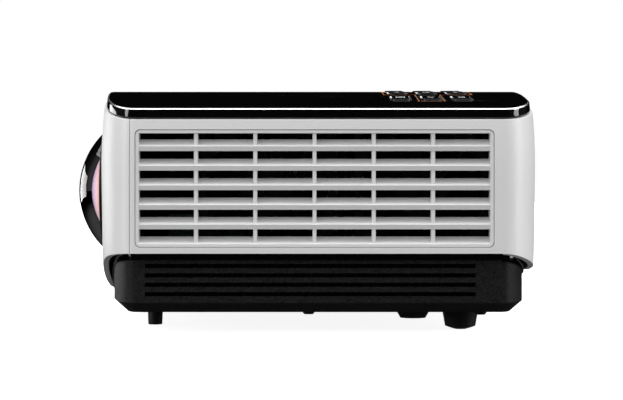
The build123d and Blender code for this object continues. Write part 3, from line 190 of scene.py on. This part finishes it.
def cross_screw(shape, frame_at, radius, height):
    """Pan-head screw with a cross recess, standing on a surface."""
    sides, arm, reach = 24, 0.17 * radius, 0.55 * radius
    waist_height, recess_floor, brow_share = 0.45 * height, 0.35 * height, 0.75
    cross = [(arm, arm), (arm, reach), (-arm, reach), (-arm, arm), (-reach, arm), (-reach, -arm),
             (-arm, -arm), (-arm, -reach), (arm, -reach), (arm, -arm), (reach, -arm), (reach, arm)]

    def ring(points, z):
        corners = [shape.verts.new(frame_at @ Vector((x * mm, y * mm, z * mm))) for x, y in points]
        return corners, [shape.edges.new(pair) for pair in zip(corners, corners[1:] + corners[:1])]

    def circle(share):
        turns = [tau * i / sides for i in range(sides)]
        return [(share * radius * cos(turn), share * radius * sin(turn)) for turn in turns]

    foot, waist, brow = ring(circle(1), 0), ring(circle(1), waist_height), ring(circle(brow_share), height)
    for low, high in ((foot, waist), (waist, brow)):
        bmesh.ops.bridge_loops(shape, edges=low[1] + high[1])
    mouth, bottom = ring(cross, height), ring(cross, recess_floor)
    bmesh.ops.triangle_fill(shape, edges=brow[1] + mouth[1], use_beauty=True)
    bmesh.ops.bridge_loops(shape, edges=mouth[1] + bottom[1])
    bmesh.ops.triangle_fill(shape, edges=bottom[1], use_beauty=True)
    shape.faces.new(foot[0])


def brushed_metal(name, colour, roughness):
    """Bare metal with fine drawn scratches."""
    material = moulded_plastic(name, colour, roughness, grain=0.15, grain_size=0.6, speckle=0.12)
    material.node_tree.nodes["Principled BSDF"].inputs["Metallic"].default_value = 1.0
    return material


# A pleated dust screen behind the side slots; its near-black matt colour is also painted shade in the slots.
dust_screen_and_shade = moulded_plastic(
    "dust_screen_and_shade", (0.002, 0.002, 0.002), 0.9, grain=1.0, grain_size=0.8, speckle=0.9, specular=0.05)
screen_start, screen_y, screen_low, screen_high = -65.5, -138.2, 14.2, 33.2
folds, fold, skin = 152, 0.35, 0.3
section = ((screen_low, 0), (screen_high, 0), (screen_high, skin), (screen_low, skin))
screen = bmesh.new()
lines = []
for step in range(folds):
    sway = fold if step % 2 else 0
    lines.append([screen.verts.new(Vector((screen_start + step, screen_y + sway + back, z)) * mm)
                  for z, back in section])
for near, far in zip(lines, lines[1:]):
    for i in range(4):
        screen.faces.new((near[i], near[(i + 1) % 4], far[(i + 1) % 4], far[i]))
screen.faces.new(lines[0])
screen.faces.new(lines[-1])
show("slot_screen", screen, "housing", dust_screen_and_shade)

screw_steel = brushed_metal("screw_steel", (0.06, 0.06, 0.065), 0.35)
screws = bmesh.new()
underside, base_head, base_head_height = 10, 2.8, 1.6
for x, y in ((-66, -112), (-66, 112), (88, -128), (88, 128), (10, -125), (10, 118), (30, -20), (-40, 20)):
    cross_screw(screws, facing((x, y, underside), (0, 0, -1), (0, 1, 0)), base_head, base_head_height)
show("base_screws", screws, "housing", screw_steel)

# ---- Feet ----
# Two plain front feet moulded of rubber, and two rear adjusters on screws, black plastic
# tapered to a domed sole.
foot_black = moulded_plastic(
    "foot_black", (0.008, 0.008, 0.008), 0.5, grain=0.5, grain_size=0.6, speckle=0.5)
finish_nodes(foot_black, "front_feet", "rear_foot_near", "rear_foot_far")
break_edges(0.3, "front_feet")


def turned(shape, profile, frame_at, steps=48):
    """Shape turned on a lathe about Z, from its profile of radius and height."""
    corners = [shape.verts.new(frame_at @ Vector((r * mm, 0, z * mm))) for r, z in profile]
    edges = [shape.edges.new(pair) for pair in zip(corners, corners[1:])]
    bmesh.ops.spin(
        shape, geom=corners + edges, cent=frame_at.translation, axis=frame_at.to_3x3() @ Vector((0, 0, 1)),
        angle=tau, steps=steps, use_merge=True,
    )
    bmesh.ops.remove_doubles(shape, verts=shape.verts, dist=mm / 1000)


rear_foot_x, rear_foot_y = 81.1, 103.8
ridge = [(8.62, 8.9), (9.0, 8.7), (9.0, 8.3), (8.6, 8.1), (8.62, 8.9)]
for name, body, side in (("near", "foot_near", -1), ("far", "foot_far", 1)):
    grip = bmesh.new()
    turned(grip, ridge, facing((rear_foot_x, side * rear_foot_y, 0), (0, 0, 1), (0, 1, 0)))
    show(f"rear_foot_rim_{name}", grip, body, foot_black)

# ---- Disc drive ----
# A bought-in drive: a folded steel chassis and lid, and a black tray that runs out on
# steel rails with its turntable, pickup and lead screw under it.
drive_steel = brushed_metal("drive_steel", (0.45, 0.45, 0.46), 0.3)
tray_black = moulded_plastic(
    "tray_black", (0.012, 0.012, 0.013), 0.35, grain=0.3, grain_size=0.35, speckle=0.3)
finish_nodes(drive_steel, "drive_chassis", "drive_lid", "slide_rails", "traverse", "lead_screw")
finish_nodes(tray_black, "disc_tray", "turntable", "pickup_sled")
finish_nodes(grained_black, "tray_front", "eject_button")
break_edges(0.3, "disc_tray", "tray_front")
break_edges(0.15, "eject_button")

# ---- Boards and power supply ----
# Green glass-fibre boards with their coils and capacitors, and the pressed zinc-plated
# deck that carries the upper ones over the base.
board_green = moulded_plastic(
    "board_green", (0.006, 0.05, 0.018), 0.35, grain=0.5, grain_size=1.2, speckle=0.5)
finish_nodes(board_green, "main_board", "imaging_board", "keypad_board", "power_supply", "lamp_ballast")
zinc_plate = brushed_metal("zinc_plate", (0.3, 0.3, 0.31), 0.45)
finish_nodes(zinc_plate, "mid_deck")

# ---- Light engine ----
# The die-cast alloy box that holds the chip board, its heat sink and the colour wheel,
# and the lamp in its heat-proof housing.
cast_alloy = brushed_metal("cast_alloy", (0.25, 0.25, 0.26), 0.5)
lamp_grey = moulded_plastic("lamp_grey", (0.03, 0.03, 0.03), 0.6, grain=0.3)
finish_nodes(cast_alloy, "light_engine", "heat_sink", "colour_wheel", "wheel_motor")
finish_nodes(lamp_grey, "lamp_module")

# ---- Lens ----
# A deep glass dome clipped in by a black ring in front of a knurled focus ring, with a coated
# inner glass and ribbed baffles behind it. The inner glass's pink and peach rings are painted
# reflections, and its glow is painted light.
lens_y, lens_z, lens_tip = 30.0, 65.7, -117.0
dome_radius, bowl_radius, glass_rim, rim_length = 44.3, 38.3, 34.0, 4.0
dome_centre = lens_tip + dome_radius
seat_x = dome_centre - sqrt(dome_radius**2 - glass_rim**2) + rim_length
bowl_rim = sqrt(bowl_radius**2 - (dome_centre - seat_x) ** 2)
lens_frame = facing((0, lens_y, lens_z), (1, 0, 0), (0, 0, 1))
lens_black = moulded_plastic("lens_black", (0.004, 0.004, 0.004), 0.3, grain=0.1, speckle=0.3)
finish_nodes(lens_black, "lens_retainer", "focus_ring", "lens_barrel")
break_edges(0.25, "focus_ring", "lens_retainer")


def optical_glass(name, tint, ior=1.52):
    """Clear glass, very slightly tinted by its coating."""
    material = bpy.data.materials.new(name)
    material.use_nodes = True
    shader = material.node_tree.nodes["Principled BSDF"]
    shader.inputs["Base Color"].default_value = (*tint, 1)
    shader.inputs["Roughness"].default_value = 0.0
    shader.inputs["IOR"].default_value = ior
    shader.inputs["Transmission Weight"].default_value = 1.0
    return material


front_glass = optical_glass("front_glass", (0.97, 0.96, 0.98))


def sphere_arc(radius, centre, rim, steps=24):
    """Points of a lens surface from its middle to its rim, as radius and place on the axis."""
    whole = asin(rim / radius)
    leans = [whole * i / steps for i in range(steps + 1)]
    return [(radius * sin(lean), centre - radius * cos(lean)) for lean in leans]


fine_turn, inner_turn = 128, 64
dome = bmesh.new()
outer_face = sphere_arc(dome_radius, dome_centre, glass_rim)
inner_face = sphere_arc(bowl_radius, dome_centre, bowl_rim)
turned(dome, outer_face + [(glass_rim, seat_x)] + inner_face[::-1], lens_frame, fine_turn)
front_dome = show("front_dome", dome, "housing", front_glass, sharp=20)
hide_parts("lens_glass")

inner_radius, inner_apex, inner_rim, inner_depth = 36.0, -110.2, 27.0, 5
painted_ring_reach, painted_glow_strength = 0.030, 1.1
glowing_lens_glass = moulded_plastic(
    "glowing_lens_glass", (0.5, 0.4, 0.5), 0.06, grain_size=9.0, speckle=0.1, specular=1.0)
coating_tree = glowing_lens_glass.node_tree
coating = coating_tree.nodes["Principled BSDF"]
coating.inputs["Specular Tint"].default_value = (1.0, 0.8, 0.95, 1)
coating.inputs["Coat Weight"].default_value = 1.0
from_axis = coating_tree.nodes.new("ShaderNodeVectorMath")
from_axis.operation = "DISTANCE"
from_axis.inputs[1].default_value = Vector((inner_apex, lens_y, lens_z)) * mm
coating_tree.links.new(coating_tree.nodes.new("ShaderNodeTexCoord").outputs["Object"], from_axis.inputs[0])
across = coating_tree.nodes.new("ShaderNodeMapRange")
across.inputs["From Max"].default_value = painted_ring_reach
coating_tree.links.new(from_axis.outputs["Value"], across.inputs["Value"])
# Base colour in rings by distance from the inner apex, pink to peach to black: painted reflections of the
# coating.
painted_reflection_rings = coating_tree.nodes.new("ShaderNodeValToRGB")
painted_reflection_rings.color_ramp.elements[0].color = (0.82, 0.72, 0.84, 1)
painted_reflection_rings.color_ramp.elements[1].color = (0.004, 0.004, 0.004, 1)
painted_reflection_tints = (
    (0.4, (0.3, 0.14, 0.26)), (0.55, (0.86, 0.66, 0.8)), (0.76, (0.84, 0.6, 0.76)),
    (0.82, (0.85, 0.45, 0.3)), (0.9, (0.06, 0.02, 0.03)),
)
for place, tint in painted_reflection_tints:
    painted_reflection_rings.color_ramp.elements.new(place).color = (*tint, 1)
coating_tree.links.new(across.outputs["Result"], painted_reflection_rings.inputs["Fac"])
coating_tree.links.new(painted_reflection_rings.outputs["Color"], coating.inputs["Base Color"])
# The same ring colours glow as painted light, though the glass is no lamp.
coating_tree.links.new(painted_reflection_rings.outputs["Color"], coating.inputs["Emission Color"])
coating.inputs["Emission Strength"].default_value = painted_glow_strength

inner_dome = bmesh.new()
inner_arc = sphere_arc(inner_radius, inner_apex + inner_radius, inner_rim)
inner_edge = inner_arc[-1][1]
inner_back = [(inner_rim, inner_edge + inner_depth), (0, inner_edge + inner_depth)]
turned(inner_dome, inner_arc + inner_back, lens_frame, inner_turn)
show("inner_glass", inner_dome, "housing", glowing_lens_glass)

ribs, rib, rib_gap, baffle_length = 3, 0.9, 1.0, 6.5
baffle = bmesh.new()
rib_x = inner_edge + rib_gap
ribbed = [(inner_rim, rib_x)]
for step in range(ribs):
    out = inner_rim + rib * (step + 1)
    ribbed += [(out, rib_x + rib * step), (out, rib_x + rib * (step + 1))]
ribbed += [(inner_rim, rib_x + baffle_length), (inner_rim, rib_x)]
turned(baffle, ribbed, lens_frame, inner_turn)
show("lens_baffle", baffle, "housing", lens_black)

# ---- Fans, speaker and dust filter ----
# Moulded black fans set behind the exhaust louvres, and a loudspeaker and a foam filter
# behind the intake louvres on the far side.
fan_black = moulded_plastic("fan_black", (0.003, 0.003, 0.003), 0.5, speckle=0.3, specular=0.1)
filter_foam = moulded_plastic(
    "filter_foam", (0.006, 0.006, 0.006), 0.9, grain=1.0, grain_size=1.4, speckle=0.9, specular=0.1)
finish_nodes(fan_black, "fan_frames", "fan_rotor_front", "fan_rotor_rear", "speaker")
finish_nodes(filter_foam, "dust_filter")

# ---- Socket panel ----
# A black plastic panel set into the rear wall. The sockets stand on the main board behind
# it and reach out through its holes.
socket_black = moulded_plastic("socket_black", (0.01, 0.01, 0.01), 0.4, grain=0.1)
socket_steel = brushed_metal("socket_steel", (0.6, 0.6, 0.6), 0.25)
contact_gold = brushed_metal("contact_gold", (0.75, 0.5, 0.18), 0.25)
finish_nodes(grained_black, "rear_panel")
finish_nodes(socket_black, "mains_inlet", "audio_jacks", "usb_socket", "phono_sockets")
finish_nodes(socket_steel, "hdmi_socket", "lan_socket", "dsub_sockets")
break_edges(0.25, "rear_panel")
panel_face, dsub_front = 110.7, 115.7
upper_row, lower_row = 76.5, 52.5


def bar(shape, x, y, z, bevel=0.0):
    """Straight bar between two bounds along each axis, in millimetres."""
    made = bmesh.ops.create_cube(shape, size=1.0)
    size = Vector((x[1] - x[0], y[1] - y[0], z[1] - z[0])) * mm
    middle = Vector((x[0] + x[1], y[0] + y[1], z[0] + z[1])) * mm / 2
    for corner in made["verts"]:
        corner.co = Vector([a * b for a, b in zip(corner.co, size)]) + middle
    if bevel:
        edges = list({edge for corner in made["verts"] for edge in corner.link_edges})
        bmesh.ops.bevel(shape, geom=edges, offset=bevel * mm, segments=1, affect="EDGES")


def row_of(count, middle, pitch):
    """Places of parts set evenly about a middle."""
    return [middle + (i - (count - 1) / 2) * pitch for i in range(count)]


mains_steel = brushed_metal("mains_steel", (0.6, 0.6, 0.58), 0.3)
blade_root, blade_tip, blade_bevel = 100.6, 109.05, 0.35
blade_sides, blade_ends = (-79.06, -76.94), (63.14, 66.86)
blades = bmesh.new()
for pin_y, pin_z in ((-7.0, -1.8), (0.0, 1.8), (7.0, -1.8)):
    bar(blades, (blade_root, blade_tip), [side + pin_y for side in blade_sides],
        [end + pin_z for end in blade_ends], bevel=blade_bevel)
show("mains_blades", blades, "housing", mains_steel)

dsub_blue = moulded_plastic("dsub_blue", (0.01, 0.03, 0.16), 0.4)
insert_back, insert_front = dsub_front - 0.4, dsub_front + 0.12
corners = [(-7.4, -3.2), (7.4, -3.2), (6.3, 3.2), (-6.3, 3.2)]
pin_rows, pins_in_row, pin_pitch = ((1.9, 0.0), (0.0, 0.55), (-1.9, 0.0)), 5, 2.3
cup = [(0.28, -0.3), (0.28, 0.2), (0.55, 0.2), (0.55, 0.1)]
nut = [(1.3, -2.0), (1.3, 0.3), (2.2, 0.3), (2.55, 0.0), (2.55, -3.6)]
nut_offset, cup_sides, nut_sides = 12.5, 10, 6
inserts, pin_cups, jack_nuts = bmesh.new(), bmesh.new(), bmesh.new()
for y, z in ((-38.0, upper_row), (0.0, upper_row), (-38.0, lower_row)):
    back = [inserts.verts.new(Vector((insert_back, y + a, z + b)) * mm) for a, b in corners]
    front = [inserts.verts.new(Vector((insert_front, y + a, z + b)) * mm) for a, b in corners]
    inserts.faces.new(front)
    for i in range(4):
        inserts.faces.new((back[i], back[(i + 1) % 4], front[(i + 1) % 4], front[i]))
    for row, shift in pin_rows:
        for pin in row_of(pins_in_row, shift, pin_pitch):
            turned(pin_cups, cup, facing((dsub_front, y + pin, z + row), (1, 0, 0)), cup_sides)
    for side in (-1, 1):
        turned(jack_nuts, nut, facing((dsub_front, y + side * nut_offset, z), (1, 0, 0)), nut_sides)
show("dsub_inserts", inserts, "housing", dsub_blue)
show("dsub_cups", pin_cups, "housing", contact_gold)
show("jack_nuts", jack_nuts, "housing", socket_steel, sharp=20)

spring_rows = (
    (8, 26.0, 1.27, (103.0, 110.6), 0.25, (2.4, 2.9)),
    (4, 48.0, 1.4, (103.5, 110.2), 0.35, (1.55, 1.75)),
    (10, -2.0, 0.95, (103.5, 110.3), 0.2, (0.4, 0.6)),
)
springs = bmesh.new()
for count, middle, pitch, ends, half, (low, high) in spring_rows:
    for y in row_of(count, middle, pitch):
        bar(springs, ends, (y - half, y + half), (lower_row + low, lower_row + high))
show("socket_contacts", springs, "housing", contact_gold)

collars = {
    "yellow": (38.0, upper_row, 4.4, (0.75, 0.5, 0.02)), "white": (56.0, upper_row, 4.4, (0.75, 0.75, 0.72)),
    "red": (74.0, upper_row, 4.4, (0.6, 0.02, 0.02)), "blue": (66.0, lower_row, 4.85, (0.05, 0.2, 0.5)),
    "green": (82.0, lower_row, 4.85, (0.1, 0.45, 0.08)),
}
collar_wall, collar_height, collar_chamfer, collar_sides = 1.5, 1.0, 0.3, 40
for colour, (y, z, radius, tint) in collars.items():
    outside, brow = radius + collar_wall, radius + collar_wall - collar_chamfer
    profile = [(radius, 0), (outside, 0), (outside, collar_height - collar_chamfer),
               (brow, collar_height), (radius, collar_height), (radius, 0)]
    collar = bmesh.new()
    turned(collar, profile, facing((panel_face, y, z), (1, 0, 0)), collar_sides)
    collar_finish = moulded_plastic(f"{colour}_collar", tint, 0.4)
    show(f"{colour}_collar", collar, "housing", collar_finish)

panel_head, panel_head_height = 2.6, 1.4
panel_screws = bmesh.new()
for y, z in ((-94, 84), (-94, 46), (20, 64.5), (94, 46), (-20, 44.5), (94, 64.5)):
    cross_screw(panel_screws, facing((panel_face, y, z), (1, 0, 0)), panel_head, panel_head_height)
show("panel_screws", panel_screws, "housing", screw_steel)

# ---- White shell ----
# The walls of the housing, two satin white mouldings that meet at an upright seam behind
# the front corners.
satin_white = moulded_plastic(
    "satin_white", (0.74, 0.74, 0.74), 0.4, grain=0.02, grain_size=0.3, speckle=0.01)
finish_nodes(satin_white, "side_shell", "front_bezel")
break_edges(0.3, "side_shell", "front_bezel")

# ---- Louvred grilles ----
# White mouldings that clip into the side windows, with six sloping louvres tied by five
# upright bars.
finish_nodes(satin_white, "exhaust_grille", "intake_grille")
break_edges(0.25, "exhaust_grille", "intake_grille")

# ---- Glossy trim and remote windows ----
# A high-gloss black moulded strip that closes the joint between base and shell, and the
# smoked windows for the remote control, set into the front and rear walls.
piano_black = moulded_plastic("piano_black", (0.002, 0.002, 0.0022), 0.03, speckle=0.1)
finish_nodes(piano_black, "lower_trim", "ir_windows")
break_edges(0.4, "lower_trim")

# ---- Top cover ----
# The crowned lid, a high-gloss black moulding that drops its rim into the shell. The
# edge round its top is rounded and given a bright metal finish as a painted highlight.
highlight_slot = 1
finish_nodes(piano_black, "top_cover")
# Bright metal on the black moulding's edge is a painted highlight, not the cover's own finish.
painted_highlight_edge = brushed_metal("painted_highlight_edge", (0.82, 0.82, 0.82), 0.2)
nodes["top_cover"].data.materials.append(painted_highlight_edge)
break_edges(0.7, "top_cover", segments=3, limit=False)
nodes["top_cover"].modifiers["broken_edges"].material = highlight_slot

# ---- Keypad ----
# Nine black moulded keys in three columns, each with a small printed mark, standing
# through the cover from their board. A thin copper-coloured line is let into the cover
# round the middle ones, and three status lights stand beside them.
key_satin = moulded_plastic("key_satin", (0.004, 0.004, 0.0045), 0.09, grain_size=0.6, speckle=0.2)
mark_white = moulded_plastic("mark_white", (0.8, 0.8, 0.8), 0.5)
copper_inlay = brushed_metal("copper_inlay", (0.75, 0.28, 0.1), 0.3)
smoked_lens = moulded_plastic("smoked_lens", (0.02, 0.003, 0.003), 0.1)
half_width, crown_rise, crown_top = 143.5, 16.0, 116.8
crown_radius = (half_width**2 + crown_rise**2) / (2 * crown_rise)
key_proud, mark_lift, mark_width, inlay_width, inlay_step = 0.5, 0.03, 0.45, 0.6, 3
key_columns, key_rows = (52.9, 67.2, 81.5), (-106.5, -74.0, -41.5)
finish_nodes(smoked_lens, "status_lights")


def crown_z(y):
    """Height of the cover's crown at a place across it."""
    return crown_top - crown_radius + sqrt(crown_radius**2 - y**2)


def ribbon(shape, points, width, closed=False, thick=0.05):
    """Flat strip of a width that follows points, each given with its across direction."""
    rows = []
    for here, across in points:
        rows.append([shape.verts.new((here + across * side * width / 2) * mm) for side in (-1, 1)])
    pairs = list(zip(rows, rows[1:] + rows[:1])) if closed else list(zip(rows, rows[1:]))
    faces = [shape.faces.new((a[0], a[1], b[1], b[0])) for a, b in pairs]
    bmesh.ops.recalc_face_normals(shape, faces=faces)
    bmesh.ops.solidify(shape, geom=faces, thickness=thick * mm)


def flat_path(path, closed, lay):
    """Places a flat path on a surface, with mitred across directions."""
    made = []
    count, tightest, hundredth, hundred = len(path), 0.3, 0.01, 100
    for i, point in enumerate(path):
        here = Vector(point)
        before = Vector(path[i - 1]) if closed or i else None
        after = Vector(path[(i + 1) % count]) if closed or i + 1 < count else None
        way_in = (here - before).normalized() if before else (after - here).normalized()
        way_out = (after - here).normalized() if after else way_in
        across_in, across_out = Vector((-way_in.y, way_in.x)), Vector((-way_out.y, way_out.x))
        across = (across_in + across_out).normalized()
        across /= max(tightest, across.dot(across_in))
        base = lay(here)
        made.append((base, lay(here + across * hundredth) * hundred - base * hundred))
    return made


def arc(radius, start, end, steps=20):
    """Points along part of a circle, between two angles in degrees."""
    turns = [radians(start + (end - start) * i / steps) for i in range(steps + 1)]
    return [(radius * cos(turn), radius * sin(turn)) for turn in turns]


screen_outline = ([(-1.9, -1.3), (1.9, -1.3), (1.9, 1.3), (-1.9, 1.3)], True)
key_marks = {
    "key_power": [(arc(1.7, 125, 415), False), ([(0, 0.3), (0, 2.2)], False)],
    "key_up": [([(-1.6, -0.8), (0, 0.9), (1.6, -0.8)], False)],
    "key_down": [([(-1.6, 0.8), (0, -0.9), (1.6, 0.8)], False)],
    "key_left": [([(0.8, -1.6), (-0.9, 0), (0.8, 1.6)], False)],
    "key_right": [([(-0.8, -1.6), (0.9, 0), (-0.8, 1.6)], False)],
    "key_enter": [(arc(1.5, 0, 342, 19), True)],
    "key_source": [screen_outline, ([(-0.8, 0), (0.9, 0)], False)],
    "key_auto": [(arc(1.6, 20, 160), False), (arc(1.6, 200, 340), False)],
    "key_blank": [screen_outline, ([(-1.2, -0.8), (1.2, 0.8)], False)],
}
key_grid = (
    ("key_source", "key_down", "key_auto"),
    ("key_left", "key_enter", "key_right"),
    ("key_power", "key_up", "key_blank"),
)


def on_key(seat, along):
    """Lays flat points on a key's cap, with its length along the slope of the crown."""
    return lambda p: seat + Vector((1, 0, 0)) * p.x + along * p.y


for row_names, key_y in zip(key_grid, key_rows):
    for name, key_x in zip(row_names, key_columns):
        finish_nodes(key_satin, name)
        break_edges(0.15, name)
        outward = Vector((0, key_y, crown_z(key_y) - crown_top + crown_radius)).normalized()
        along = Vector((0, outward.z, -outward.y))
        seat = Vector((key_x, key_y, crown_z(key_y))) + outward * (key_proud + mark_lift)
        mark = bmesh.new()
        for path, closed in key_marks[name]:
            ribbon(mark, flat_path(path, closed, on_key(seat, along)), mark_width, closed)
        show(f"{name}_mark", mark, name, mark_white)

arm_x, arm_y, bar_x, bar_y, cut = (60.8, 72.7), (-119.5, -27.5), (46.0, 88.4), (-88.5, -57.5), 2.4
inlay_corners = [
    (arm_x[0], arm_y[0]), (arm_x[1], arm_y[0]), (arm_x[1], bar_y[0]), (bar_x[1] - cut, bar_y[0]),
    (bar_x[1], bar_y[0] + cut), (bar_x[1], bar_y[1] - cut), (bar_x[1] - cut, bar_y[1]),
    (arm_x[1], bar_y[1]), (arm_x[1], arm_y[1]), (arm_x[0], arm_y[1]), (arm_x[0], bar_y[1]),
    (bar_x[0] + cut, bar_y[1]), (bar_x[0], bar_y[1] - cut), (bar_x[0], bar_y[0] + cut),
    (bar_x[0] + cut, bar_y[0]), (arm_x[0], bar_y[0]),
]
inlay_path = []
for (ax, ay), (bx, by) in zip(inlay_corners, inlay_corners[1:] + inlay_corners[:1]):
    pieces = max(1, int(hypot(bx - ax, by - ay) / inlay_step))
    inlay_path += [(ax + (bx - ax) * i / pieces, ay + (by - ay) * i / pieces) for i in range(pieces)]
inlay_line = flat_path(inlay_path, True, lambda p: Vector((p.x, p.y, crown_z(p.y) + mark_lift)))
inlay = bmesh.new()
ribbon(inlay, inlay_line, inlay_width, True)
show("keypad_inlay", inlay, "housing", copper_inlay)

# ---- Table, studio and camera ----
# A pale table that runs out to the horizon in a plain studio. A long soft box and a wide
# one hang overhead, one stands at each end and one faces the lens, and the camera stands
# level with the middle of the housing.
table_reach, table_glow, table_bounce, table_paleness = 40, 0.9, 0.18, 0.85
table_mesh = bpy.data.meshes.new("table_top")
table = bpy.data.objects.new("table_top", table_mesh)
bpy.context.collection.objects.link(table)
sheet = bmesh.new()
bmesh.ops.create_grid(sheet, x_segments=8, y_segments=8, size=table_reach)
sheet.to_mesh(table_mesh)
sheet.free()
table_white = moulded_plastic("table_white", (0.8, 0.8, 0.8), 0.8, specular=0.0)
table_tree = table_white.node_tree
table_shader = table_tree.nodes["Principled BSDF"]


def table_sum(kind, first, second):
    """One value of the table's brightness, worked out from two others."""
    step = table_tree.nodes.new("ShaderNodeMath")
    step.operation = kind
    for socket, value in zip(step.inputs, (first, second)):
        if isinstance(value, float):
            socket.default_value = value
        else:
            table_tree.links.new(value, socket)
    return step.outputs[0]


table_place = table_tree.nodes.new("ShaderNodeTexCoord")
from_middle = table_tree.nodes.new("ShaderNodeVectorMath")
from_middle.operation = "LENGTH"
table_tree.links.new(table_place.outputs["Object"], from_middle.inputs[0])
# A faint painted pool of light round the model, seen only in reflections, fading out by 0.55 m.
painted_light_pool = table_tree.nodes.new("ShaderNodeMapRange")
for key, value in (("From Min", 0.30), ("From Max", 0.55), ("To Min", 0.04), ("To Max", 0.0)):
    painted_light_pool.inputs[key].default_value = value
table_tree.links.new(from_middle.outputs["Value"], painted_light_pool.inputs["Value"])
ray_kind = table_tree.nodes.new("ShaderNodeLightPath")
seen, mirrored_ray = ray_kind.outputs["Is Camera Ray"], ray_kind.outputs["Is Glossy Ray"]
seen_glow = table_sum("MULTIPLY", seen, table_glow)
painted_pool_glow = table_sum("MULTIPLY", mirrored_ray, painted_light_pool.outputs["Result"])
glow = table_sum("ADD", seen_glow, painted_pool_glow)
table_shader.inputs["Emission Color"].default_value = (1, 1, 1, 1)
table_tree.links.new(glow, table_shader.inputs["Emission Strength"])
bounced = table_sum("MINIMUM", ray_kind.outputs["Diffuse Depth"], 1.0)
bounced_paleness = table_sum("MULTIPLY", bounced, table_bounce)
paleness = table_sum("ADD", bounced_paleness, table_sum("MULTIPLY", seen, table_paleness))
table_tree.links.new(paleness, table_shader.inputs["Base Color"])
table_mesh.materials.append(table_white)

world = bpy.data.worlds.new("studio")
bpy.context.scene.world = world
world.use_nodes = True
room = world.node_tree
room.nodes.clear()
toward = room.nodes.new("ShaderNodeTexCoord")
split = room.nodes.new("ShaderNodeSeparateXYZ")
room.links.new(toward.outputs["Generated"], split.inputs["Vector"])
sideways = room.nodes.new("ShaderNodeMath")
sideways.operation = "ABSOLUTE"
room.links.new(split.outputs["X"], sideways.inputs[0])


def shading(source, low, high, dark, light):
    """Brightness that grows from dark to light as a direction turns from low to high."""
    ramp = room.nodes.new("ShaderNodeMapRange")
    for key, value in (("From Min", low), ("From Max", high), ("To Min", dark), ("To Max", light)):
        ramp.inputs[key].default_value = value
    room.links.new(source, ramp.inputs["Value"])
    return ramp.outputs["Result"]


def lit_by(brightness):
    """White light of a brightness, from all the room."""
    light = room.nodes.new("ShaderNodeBackground")
    light.inputs["Color"].default_value = (1, 1, 1, 1)
    if isinstance(brightness, float):
        light.inputs["Strength"].default_value = brightness
    else:
        room.links.new(brightness, light.inputs["Strength"])
    return light.outputs[0]


mirrored = lit_by(shading(sideways.outputs[0], low=0.6, high=0.9, dark=0.002, light=0.06))
fill = lit_by(shading(split.outputs["Z"], low=-0.1, high=0.9, dark=0.92, light=1.1))
rays = room.nodes.new("ShaderNodeLightPath")
glossy_mix, camera_mix = room.nodes.new("ShaderNodeMixShader"), room.nodes.new("ShaderNodeMixShader")
room.links.new(rays.outputs["Diffuse Depth"], glossy_mix.inputs["Fac"])
room.links.new(mirrored, glossy_mix.inputs[1])
room.links.new(fill, glossy_mix.inputs[2])
room.links.new(rays.outputs["Is Camera Ray"], camera_mix.inputs["Fac"])
room.links.new(glossy_mix.outputs[0], camera_mix.inputs[1])
room.links.new(lit_by(1.0), camera_mix.inputs[2])
room_out = room.nodes.new("ShaderNodeOutputWorld")
room.links.new(camera_mix.outputs[0], room_out.inputs["Surface"])


def soft_box(name, place, target, width, height, power, diffuse=True):
    """Soft light that faces a point."""
    lamp = bpy.data.lights.new(name, "AREA")
    lamp.shape = "RECTANGLE"
    lamp.size, lamp.size_y, lamp.energy = width, height, power
    box = bpy.data.objects.new(name, lamp)
    bpy.context.collection.objects.link(box)
    box.location = place
    box.rotation_euler = (Vector(target) - Vector(place)).to_track_quat("-Z", "Y").to_euler()
    box.visible_camera = False
    box.visible_diffuse = diffuse
    box.visible_transmission = False


middle = (0, 0, 0.06)
soft_box("overhead_box", (0.0, -0.35, 1.3), (0, 0, 0.05), width=1.6, height=0.4, power=10)
soft_box("gloss_box", (0.0, 0.4, 1.3), (0, 0.4, 0), width=4.8, height=2.5, power=75, diffuse=False)
soft_box("left_box", (-1.1, -0.5, 0.15), middle, width=0.30, height=0.45, power=3)
soft_box("lens_box", (-0.80, 0.78, 0.066), (-0.11, 0.03, 0.066), width=0.50, height=0.34, power=1.7,
         diffuse=False)
soft_box("right_box", (1.15, -0.2, 0.2), middle, width=0.40, height=0.60, power=4.4)

sensor_width, focal_pixels, picture_width = 36.0, 1575, 623
camera = bpy.data.cameras.new("camera")
camera.sensor_width = sensor_width
camera.lens = sensor_width * focal_pixels / picture_width
viewer = bpy.data.objects.new("camera", camera)
bpy.context.collection.objects.link(viewer)
viewer.location = (0.0113, -0.8435, 0.0604)
viewer.rotation_euler = (pi / 2, 0, 0)
bpy.context.scene.camera = viewer
bpy.context.scene.view_settings.view_transform = "Standard"
